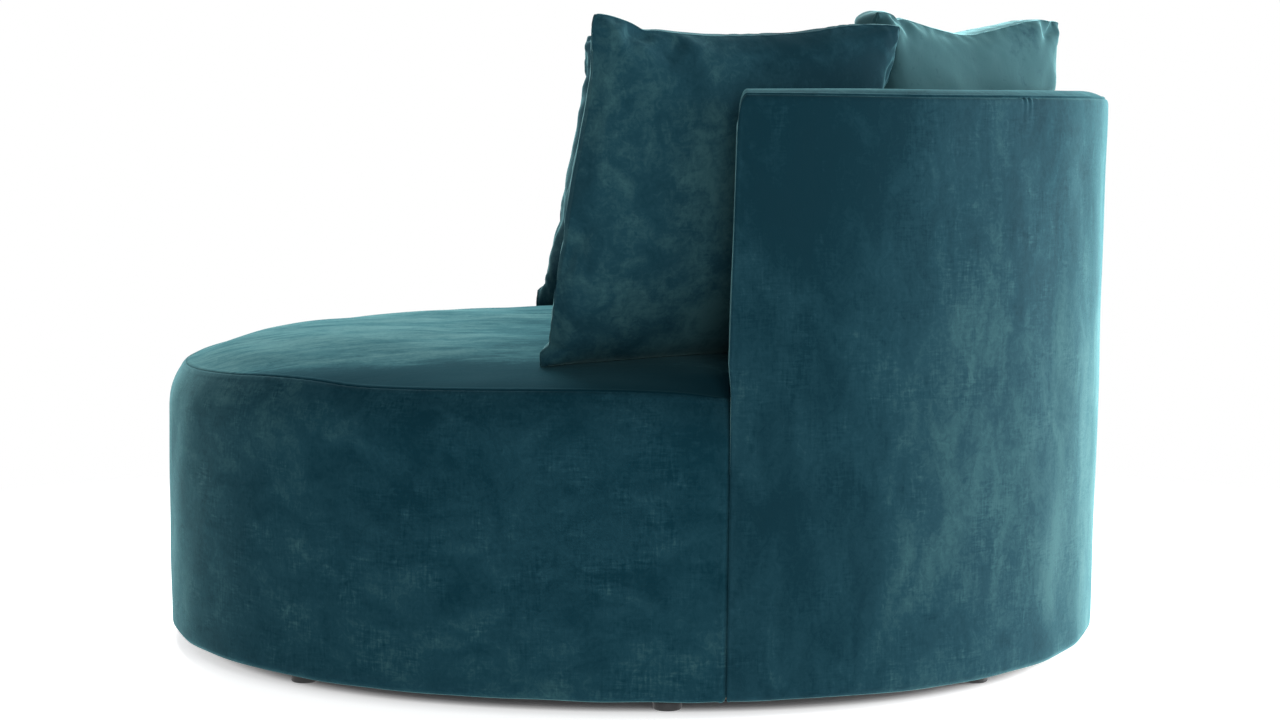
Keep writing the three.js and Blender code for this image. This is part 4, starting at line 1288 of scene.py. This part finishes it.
# Where each cushion stands, as the solids have it: its middle, which way it faces, its lean and roll.
# Then its form: how far its top and its two sides run off a square, from one corner to the next, how far
# its lowest corners are folded out and how much its upper ones are stuffed, on the sitter's right
# and left, and how far the seam of its top is set to the rear, as a share of the thickness there.
CUSHIONS = {
    "left": {
        "middle": (0.5062, 0.1121, 0.6492),
        "facing": -59.7,
        "lean": 18.2,
        "roll": 1.1,
        "top": (-0.024, -0.024, -0.033, -0.036, -0.035, -0.026, -0.007),
        "right_side": (0.000, -0.008, -0.012, -0.014, -0.014, -0.010, -0.003),
        "left_side": (-0.012, -0.012, -0.012, -0.013, -0.017, -0.018, -0.008),
        "ears": (0.0, 0.012),
        "stuffing": (0.0, 0.0),
        "seam_set": 0.0,
    },
    "back": {
        "middle": (0.1462, 0.4050, 0.6524),
        "facing": -39.0,
        "lean": 18.9,
        "roll": 0.0,
        "top": (-0.002, -0.004, -0.017, -0.028, -0.022, -0.011, 0.000),
        "right_side": (0.000, 0.002, 0.004, 0.006, 0.009, 0.010, -0.002),
        "left_side": (-0.004, -0.010, -0.014, -0.016, -0.014, -0.010, 0.000),
        "ears": (0.0, 0.0),
        "stuffing": (0.0, 0.015),
        "seam_set": 0.4,
    },
    "right": {
        "middle": (-0.5148, 0.0802, 0.6503),
        "facing": 60.5,
        "lean": 20.5,
        "roll": 0.6,
        "top": (0.000, -0.012, -0.024, -0.028, -0.024, -0.014, -0.004),
        "right_side": (-0.010, -0.012, -0.015, -0.016, -0.014, -0.008, 0.004),
        "left_side": (-0.004, -0.010, -0.015, -0.017, -0.015, -0.010, -0.004),
        "ears": (0.014, 0.0),
        "stuffing": (0.0, 0.0),
        "seam_set": 0.0,
    },
}


def flat_sheets(half, cells, lift):
    """Two square sheets that share their edges, swollen a little apart, as grids [across, up]."""
    line = np.linspace(-1, 1, cells + 1)
    u, v = np.meshgrid(line, line, indexing="ij")
    room = lift * np.sqrt((1 - u**2) * (1 - v**2))
    front = np.stack([u * half, -room, v * half], axis=-1)
    rear = np.stack([u * half, room, v * half], axis=-1)
    return front, rear


def joined(front, rear):
    """The points and quads of two sheets sewn along their edges, and where each grid point went."""
    rows, columns = front.shape[:2]
    index = np.arange(rows * columns).reshape(rows, columns)
    inner = np.zeros((rows, columns), bool)
    inner[1:-1, 1:-1] = True
    rear_index = index.copy()
    rear_index[inner] = rows * columns + np.arange(inner.sum())
    points = np.concatenate([front.reshape(-1, 3), rear[inner]])

    def quads(grid):
        return np.stack([grid[:-1, :-1], grid[1:, :-1], grid[1:, 1:], grid[:-1, 1:]], axis=-1)

    faces = np.concatenate([quads(index).reshape(-1, 4), quads(rear_index).reshape(-1, 4)[:, ::-1]])
    return points, faces.tolist(), index, rear_index


def blown_up(seed):
    """A flat cushion cover blown up by cloth simulation: its folds come from the cloth itself."""
    front, rear = flat_sheets(CUT_HALF, SIM_CELLS, SIM_START)
    draw = np.random.default_rng(seed)
    for sheet, side in ((front, -1), (rear, 1)):
        x, z = sheet[..., 0], sheet[..., 2]
        off = CUT_HALF - np.maximum(np.abs(x), np.abs(z))
        along = np.where(np.abs(x) > np.abs(z), z, x)
        wander = swell(x, z, seed + 1, *SIM_WANDER)
        ripple = np.sin(2 * math.pi * along / SIM_SEAM_PITCH + wander + draw.uniform(0, 3))
        sheet[..., 1] += SIM_SEAM_RIPPLE * ripple * np.exp(-off / SIM_EDGE)
        sheet[..., 1] += swell(x, z, seed + 2, *SIM_UNEVEN) * side * smooth(off / SIM_EDGE)
    rear[[0, -1]], rear[:, [0, -1]] = front[[0, -1]], front[:, [0, -1]]
    points, faces, index, rear_index = joined(front, rear)
    piece = make("blown_cushion", points, faces, CUSHION_VELVET)
    cloth = piece.modifiers.new("cloth", "CLOTH")
    for name, value in SIM_CLOTH.items():
        setattr(cloth.settings, name, value)
    cloth.settings.effector_weights.gravity = 0
    cloth.collision_settings.use_collision = False
    cloth.point_cache.frame_end = SIM_FRAMES + 1
    for moment in range(1, SIM_FRAMES + 1):
        bpy.context.scene.frame_set(moment)
    settled = piece.evaluated_get(bpy.context.evaluated_depsgraph_get()).to_mesh()
    moved = np.empty((len(settled.vertices), 3))
    settled.vertices.foreach_get("co", moved.ravel())
    mesh = piece.data
    bpy.data.objects.remove(piece)
    bpy.data.meshes.remove(mesh)
    bpy.context.scene.frame_set(1)
    return moved[index], moved[rear_index]


def evened(grid, passes):
    """A grid of points evened out along both of its ways."""
    for _ in range(passes):
        for axis in (0, 1):
            ends = [(1, 1) if k == axis else (0, 0) for k in range(3)]
            wide = np.pad(grid, ends, "edge")
            count = grid.shape[axis]
            before, here, after = (wide.take(range(k, k + count), axis) for k in range(3))
            grid = (before + 2 * here + after) / 4
    return grid


def folds(seed):
    """What the simulated cloth adds to a smooth cushion: how both faces move, and how they part."""
    front, rear = blown_up(seed)
    middle, half = (front + rear) / 2, (rear - front) / 2
    line = np.linspace(-1, 1, SIM_CELLS + 1)
    off_x, off_z = CUT_HALF * (1 - np.abs(line))[:, None], CUT_HALF * (1 - np.abs(line))[None, :]
    calm = smooth(np.hypot(off_x, off_z) / FOLD_CORNER)
    shared = (evened(middle, 1) - evened(middle, FOLD_PASSES)) * (calm * FOLD_SHARE / 2)[..., None]
    calm = calm * smooth(np.minimum(off_x, off_z) / FOLD_EDGE)
    apart = (evened(half, 1) - evened(half, FOLD_PASSES)) * (calm * FOLD_SHARE)[..., None]
    return FOLD_LIMIT * np.tanh(shared / FOLD_LIMIT), FOLD_LIMIT * np.tanh(apart / FOLD_LIMIT)


def between_points(places, count):
    """The matrix that carries count evenly spaced points to smooth values at places from 0 to 1."""
    at = np.clip(places, 0, 1) * (count - 1)
    start = np.clip(at.astype(int), 0, count - 2)
    t = at - start
    shares = (
        -0.5 * t**3 + t**2 - 0.5 * t,
        1.5 * t**3 - 2.5 * t**2 + 1,
        -1.5 * t**3 + 2 * t**2 + 0.5 * t,
        0.5 * t**3 - 0.5 * t**2,
    )
    matrix = np.zeros((len(places), count))
    for step, share in zip((-1, 0, 1, 2), shares):
        np.add.at(matrix, (np.arange(len(places)), np.clip(start + step, 0, count - 1)), share)
    return matrix


def refined(sheet, places):
    """A sheet's grid drawn again at finer places in both directions."""
    matrix = between_points(places, sheet.shape[0])
    return np.einsum("ai,bj,ijk->abk", matrix, matrix, sheet, optimize=True)


def edge_lines(step, edge_step):
    """Places from 0 to 1 across a cushion, close together at its seams, and their lengths off them."""
    length = 2 * CUT_HALF
    places = graded(length, step, edge_step, [0.0, length], EDGE_REACH)
    return places / length, np.minimum(places, length - places)


def plump_form(shape, places, added):
    """A cushion's two faces at places over its cloth, between the lines of its edges."""
    half = CUSHION_SIZE / 2
    cut = 2 * places - 1
    share = (1 - SPREAD_SHARE) * cut + SPREAD_SHARE * np.sin(cut * math.pi / 2)
    u, v = share[:, None], share[None, :]
    lines = {}
    for name in ("top", "right_side", "left_side"):
        matrix = between_points((share + 1) / 2, len(shape[name]))
        lines[name] = half + matrix @ np.array(shape[name])
    low = (1 - v) / 2
    x = lines["left_side"][None, :] * (1 + u) / 2 - lines["right_side"][None, :] * (1 - u) / 2
    z = lines["top"][:, None] * (1 - low) - half * low
    right_ear, left_ear = shape["ears"]
    folded = smooth((EAR_HEIGHT - (1 + v) * half) / EAR_STEP) * np.abs(u) ** EAR_SHARPNESS
    x = x + np.sign(u) * np.where(u > 0, left_ear, right_ear) * folded
    room = CUSHION_DEPTH / 2 * (np.maximum(0, 1 - u**2) * np.maximum(0, 1 - v**2)) ** PLUMPNESS
    off_corner = np.hypot((1 - np.abs(u)) * half - EAR_REACH, (1 - v) * half - EAR_REACH)
    right_stuffing, left_stuffing = shape["stuffing"]
    stuffed = np.where(u > 0, left_stuffing, right_stuffing) * np.exp(-((off_corner / EAR_REACH) ** 2))
    room = room + stuffed * np.minimum(1, room / STUFFED_ROOM)
    set_back = -shape["seam_set"] * room * smooth(1 - (1 - v) / SEAM_SET_SHARE)
    middle, apart = np.stack([x, set_back, z], axis=-1), np.stack([0 * x, room, 0 * x], axis=-1)
    if added is not None:
        shared, parted = (refined(grid, places) for grid in added)
        middle, apart = middle + shared, apart + parted
    return middle, apart


def sewn_cushion(shape, added, seed):
    """The fine form of a cushion: seam groove and lips, small puckers and creased corners."""
    places, off = edge_lines(FACE_STEP, EDGE_STEP)
    off_x, off_z = off[:, None], off[None, :]
    nearest, corner = np.minimum(off_x, off_z), np.hypot(off_x, off_z)
    across, up = 2 * places[:, None] - 1, 2 * places[None, :] - 1
    flat_x, flat_z = across * CUT_HALF + 0 * up, up * CUT_HALF + 0 * across
    above = smooth((up + 1) / LOW_BAND_SHARE)
    shown = UPPER_SEAM_SHARE + (1 - UPPER_SEAM_SHARE) * smooth(1 - (up + 1) / LOW_BAND_SHARE)
    groove = GROOVE_DEPTH * np.exp(-((nearest / GROOVE_REACH) ** 2)) * shown
    lip = LIP_HEIGHT * np.exp(-(((nearest - LIP_PLACE) / LIP_REACH) ** 2)) * shown

    along = np.where(off_x < off_z, flat_z, flat_x)
    wander = swell(flat_x, flat_z, seed + 5, *CUSHION_WANDER)
    turn = math.pi * (along + PUCKER_SLANT * nearest) / PUCKER_PITCH + PUCKER_WANDER_TURN * wander
    patch = smooth(CUSHION_PATCH_LEVEL + swell(flat_x, flat_z, seed + 6, *CUSHION_PATCH))
    where = patch * above * smooth((corner - PUCKER_CORNER) / PUCKER_CORNER_FADE)
    fade = np.exp(-nearest / PUCKER_PITCH) * smooth(nearest / PUCKER_START)
    dent = PUCKER_HEIGHT * np.sin(turn) ** 4 * where * fade

    angle = np.arctan2(off_x, off_z + NO_ANGLE)
    crease = np.sin(CREASE_TURNS * angle + CREASE_SHIFT * np.sign(across) + seed)
    crease = CREASE_HEIGHT * crease * np.exp(-corner / CREASE_REACH) * smooth(corner / CREASE_START)

    middle, apart = plump_form(shape, places, added)
    fine = []
    for side in (-1, 1):
        grid = middle + side * apart
        grid[..., 0] -= np.sign(across) * groove * (off_x <= off_z)
        grid[..., 2] -= np.sign(up) * groove * (off_z < off_x)
        soft = swell(flat_x, flat_z, seed + 7 + side, *CUSHION_UNEVEN) * smooth(nearest / UNEVEN_START)
        grid[..., 1] += side * (lip - dent + soft + crease)
        fine.append(grid)
    front, rear = fine
    for rows in (slice(0, 1), slice(-1, None)):
        front[rows] = rear[rows] = (front[rows] + rear[rows]) / 2
        front[:, rows] = rear[:, rows] = (front[:, rows] + rear[:, rows]) / 2
    return front, rear, flat_x[:, 0]


def slot_opening(front, rear, along):
    """Opens the bottom seam over the zip and turns its edges up into the slot."""
    inside = smooth((SLOT_HALF - np.abs(along)) / SLOT_END)[:, None]
    opened = inside * np.exp(-np.arange(SLOT_ROWS) / SLOT_FADE_ROWS)
    sheets = []
    for sheet, side in ((front, -1), (rear, 1)):
        lip = side * ZIP_SLOT / 2
        lifted = sheet.copy()
        rows = lifted[:, :SLOT_ROWS, 1]
        lifted[:, :SLOT_ROWS, 1] = rows * (1 - opened) + lip * opened
        walls = []
        for rise in SLOT_RISES:
            wall = lifted[:, :1].copy()
            wall[..., 1] = lip * inside
            wall[..., 2] += rise * inside
            walls.append(wall)
        sheets.append(np.concatenate([*walls, lifted], axis=1))
    front, rear = sheets
    front[:, :1] = rear[:, :1] = (front[:, :1] + rear[:, :1]) / 2
    return front, rear


def cushion_pose(place):
    """How a cushion stands in the chair."""
    turn = Matrix.Rotation(math.radians(place["facing"]), 4, "Z")
    lean = Matrix.Rotation(math.radians(-place["lean"]), 4, "X")
    roll = Matrix.Rotation(math.radians(place["roll"]), 4, "Y")
    return np.array(Matrix.Translation(place["middle"]) @ turn @ lean @ roll)


def stood(points, pose):
    """Points of a cushion, moved to where it stands."""
    return points @ pose[:3, :3].T + pose[:3, 3]


def sagged(sheets, places):
    """A cushion's sheets, as they stand, with their lowest edges let down onto the seat."""
    low = smooth(1 - places / SAG_REACH)
    share = np.concatenate([SLOT_SAGS, low])
    edge = sheets[0][:, len(SLOT_SAGS)]
    gap = edge[:, 2] - seat_surface(edge[:, 0], edge[:, 1]) - PRESS_PLAY
    drop = np.clip(gap, 0, SAG_LIMIT)[:, None] * share[None, :]
    return [sheet - drop[..., None] * np.array(UP) for sheet in sheets]


def in_back(points):
    """Which points lie in the back or closer to it than a small play."""
    x, y, z = points.T
    behind = np.maximum(0, y - WIDEST_Y) / REAR_REACH
    y = y - BACK_RAKE * behind * z / BACK_TOP - WIDEST_Y
    inset = BACK_THICKNESS + PRESS_PLAY
    across = np.abs(x / (HALF_WIDTH - inset)) ** PLAN_POWER
    outside = across + np.abs(y / (REAR_REACH - inset)) ** PLAN_POWER > 1
    front = np.interp(z, FRONT_LINE_HEIGHTS, FRONT_LINE_PLACES) - WIDEST_Y - FACING_BULGE - PRESS_PLAY
    return outside & (y > front) & (z < BACK_TOP + PRESS_PLAY)


def pressed(points, away):
    """Points of a cushion pressed flat where it leans on the back, and lifted clear of the seat."""
    points = points.copy()
    for _ in range(PRESS_STEPS):
        caught = in_back(points)
        if not caught.any():
            break
        points[caught] += away * PRESS_STEP
    floor = seat_surface(points[:, 0], points[:, 1]) + PRESS_PLAY
    points[:, 2] = np.maximum(points[:, 2], floor)
    return points


def add_cushion(side, place, seed):
    """One loose cushion: its cover with the zip's slot, and the fibre pad in it."""
    body = f"{side}_cushion"
    added = folds(seed)
    pose = cushion_pose(place)
    away = -pose[:3, 1]
    sheets = slot_opening(*sewn_cushion(place, added, seed))
    heights = edge_lines(FACE_STEP, EDGE_STEP)[0] * CUSHION_SIZE
    front, rear = sagged([stood(sheet, pose) for sheet in sheets], heights)
    points, faces, _, _ = joined(front, rear)
    # The rear cushion takes the lighter copy of the velvet, with its painted light.
    finish = REAR_CUSHION_PAINTED_LIGHT_VELVET if side == "back" else CUSHION_VELVET
    cover = make(f"{side}_cushion_velvet", pressed(points, away), faces, finish)
    dress(cover, "velvet", f"cushion_{side}_cover", body=body, fill=0.7)

    places, _ = edge_lines(PAD_STEP, PAD_EDGE_STEP)
    middle, apart = plump_form(place, 0.5 + (places - 0.5) * PAD_SHARE, None)
    apart = np.sign(apart) * np.maximum(0, np.abs(apart) - PAD_PLAY)
    points, faces, _, _ = joined(middle - apart, middle + apart)
    pad = make(f"{side}_cushion_filling", pressed(stood(points, pose), away), faces, FIBRE)
    dress(pad, "fibre", f"cushion_{side}_pad", body=body, fill=0.7)


for number, (side, place) in enumerate(CUSHIONS.items()):
    add_cushion(side, place, FIRST_SEED + SEED_STEP * number)


add_border()
add_back_outer()
add_back_inner()
add_back_top()
for side in (1, -1):
    add_facing(side)
add_seat_top()
add_back_foam()
add_back_timber()
add_border_wadding()
add_seat_foam()
add_lining()
for number, place in enumerate(foot_places(), 1):
    add_foot(number, place)


# Studio

CAMERA_PLACE = (4.104, 0.0055, 0.740)
CAMERA_PITCH = 5.01
# The lens's length as a share of the picture's width
FOCAL_SHARE = 2824.1 / 1280
SENSOR = 36.0
WHITE = (1.0, 1.0, 1.0)
# Each soft box: where it hangs, what it shines at, its width and its power
LAMPS = {
    "rear_box": ((-0.3, 3.9, 1.0), (0, 0.4, 0.4), 1.8, 255),
    "side_box": ((3.9, 0.45, 1.35), (0.6, 0, 0.4), 1.1, 46),
    "top_box": ((-2.2, -0.6, 3.0), (0, 0, 0.4), 2.4, 170),
    "front_box": ((-2.6, -3.4, 1.4), (0, 0, 0.4), 1.6, 10),
}


def add_camera():
    """The photograph's view: from the sitter's left, a little above the seat."""
    data = bpy.data.cameras.new("camera")
    data.sensor_width = SENSOR
    data.lens = FOCAL_SHARE * SENSOR
    camera = bpy.data.objects.new("camera", data)
    camera.location = CAMERA_PLACE
    camera.rotation_euler = Euler((math.radians(90 - CAMERA_PITCH), 0, math.radians(90)))
    bpy.context.scene.collection.objects.link(camera)
    bpy.context.scene.camera = camera


def add_lamp(name, place, target, size, power):
    """A square soft box of a size that shines at a target."""
    data = bpy.data.lights.new(name, "AREA")
    data.size = size
    data.energy = power
    lamp = bpy.data.objects.new(name, data)
    lamp.location = place
    lamp.rotation_euler = (Vector(target) - Vector(place)).to_track_quat("-Z", "Y").to_euler()
    bpy.context.scene.collection.objects.link(lamp)


BACK_LIGHT = 0.85
CAMERA_SIDE_LIGHT = 0.05
SKY_LIGHT = 0.20
REAR_SIDE_LIGHT = 0.22
LEAST_LIGHT = 0.02
LIGHT_BLEND = 0.1


def add_world():
    """A white studio: bright behind, above and to the chair's rear, dim where the camera stands."""
    world = bpy.data.worlds.new("studio")
    bpy.context.scene.world = world
    studio = Finish("studio", world)
    x, y, z = studio.split(studio.node("ShaderNodeTexCoord", output="Generated"))
    behind = x.math("MULTIPLY_ADD", -0.5, 0.5).math("SMOOTH_MIN", 1, LIGHT_BLEND)
    level = behind * (BACK_LIGHT - CAMERA_SIDE_LIGHT) + CAMERA_SIDE_LIGHT
    level = level + y * REAR_SIDE_LIGHT + z.math("MAXIMUM", 0) * SKY_LIGHT
    light = studio.node("ShaderNodeBackground", None, {"Strength": level.math("MAXIMUM", LEAST_LIGHT)})
    white = studio.node("ShaderNodeBackground", None, {"Color": WHITE})
    seen = studio.node("ShaderNodeLightPath", output="Is Camera Ray")
    for ray in ("Is Glossy Ray", "Is Transmission Ray"):
        seen = seen.math("MAXIMUM", studio.node("ShaderNodeLightPath", output=ray))
    both = studio.node("ShaderNodeMixShader", None, {0: seen, 1: light, 2: white})
    studio.node("ShaderNodeOutputWorld", None, {"Surface": both})


FLOOR_HALF = 40.0
FLOOR_CLOUDS = 0.4
FLOOR_GLOW = 0.67
# Painted contact shadow: how much of the floor's glow is left at half shares of the chair's plan
PAINTED_SHADOW_STEPS = ((0.438, 0.00), (0.450, 0.05), (0.462, 0.35), (0.472, 0.80), (0.490, 1.00))
FLOOR_BOUNCE = 0.75
FLOOR_LIT_REACH = 1.0
FLOOR_WHITE_REACH = 1.9


def footprint(floor):
    """How far out each point of the floor lies, as half of a share of the chair's plan."""
    x, y, _ = floor.split(floor.place())
    y = y - WIDEST_Y
    behind = y.math("MAXIMUM", 0.0) * (1 / REAR_REACH)
    before = (y * -1.0).math("MAXIMUM", 0.0) * (1 / FRONT_REACH)
    across = (x.math("ABSOLUTE") * (1 / HALF_WIDTH)) ** PLAN_POWER
    return (across + (behind + before) ** PLAN_POWER) ** (1 / PLAN_POWER) * 0.5


def add_floor():
    """A white floor that keeps the chair's shadow, has a painted contact shadow under it, and runs out into
    the white behind.
    """
    floor = Finish("pale_floor")
    dust = floor.noise(floor.place(), size=FLOOR_CLOUDS, detail=2.0)
    colour = floor.mix(dust, (0.93, 0.93, 0.93), (0.95, 0.95, 0.95))
    plain = floor.node("ShaderNodeBsdfDiffuse", None, {"Color": colour})
    bounce = floor.node("ShaderNodeEmission", None, {"Color": WHITE, "Strength": FLOOR_BOUNCE})
    bright = floor.node("ShaderNodeAddShader", None, {0: plain, 1: bounce})
    white = floor.node("ShaderNodeEmission", None, {"Color": WHITE, "Strength": 1.0})
    stops = [(place, (level, level, level)) for place, level in PAINTED_SHADOW_STEPS]
    # Painted contact shadow: the floor's glow fades out over the chair's footprint.
    painted_shadow_glow = floor.ramp(footprint(floor), *stops)
    glow = floor.node("ShaderNodeEmission", None, {"Color": WHITE, "Strength": FLOOR_GLOW})
    lifted = floor.node("ShaderNodeAddShader", None, {0: plain, 1: glow})
    lifted = floor.node("ShaderNodeMixShader", None, {0: painted_shadow_glow, 1: plain, 2: lifted})
    away = floor.node("ShaderNodeVectorMath", {"operation": "LENGTH"}, {0: floor.place()}, 1)
    settings = {"interpolation_type": "SMOOTHSTEP"}
    limits = {"Value": away, "From Min": FLOOR_LIT_REACH, "From Max": FLOOR_WHITE_REACH}
    far = floor.node("ShaderNodeMapRange", settings, limits)
    seen = floor.node("ShaderNodeMixShader", None, {0: far, 1: lifted, 2: white})
    unseen = floor.node("ShaderNodeMixShader", None, {0: far, 1: bright, 2: plain})
    camera_ray = floor.node("ShaderNodeLightPath", output="Is Camera Ray")
    both = floor.node("ShaderNodeMixShader", None, {0: camera_ray, 1: unseen, 2: seen})
    floor.node("ShaderNodeOutputMaterial", None, {"Surface": both})
    corners = [[x * FLOOR_HALF, y * FLOOR_HALF, 0] for x, y in ((-1, -1), (1, -1), (1, 1), (-1, 1))]
    make("floor", corners, [[0, 1, 2, 3]], floor.material, False)


add_camera()
add_world()
add_floor()
for name, lamp in LAMPS.items():
    add_lamp(name, *lamp)
bpy.context.scene.view_settings.view_transform = "Standard"

finishes = {
    "plywood": PLYWOOD,
    "webbing": WEBBING,
    "lining": LINING,
    "foot_plastic": PLASTIC,
    "zip_tape": ZIP_TAPE,
    "zip_metal": ZIP_METAL,
    "foam": FOAM,
    "fibre": FIBRE,
    "velvet": CUSHION_VELVET,
}
for part in frame["record"]["subparts"]:
    node = frame["nodes"][part["node"]]
    node.data.materials.clear()
    node.data.materials.append(finishes[part["material_slot"]])
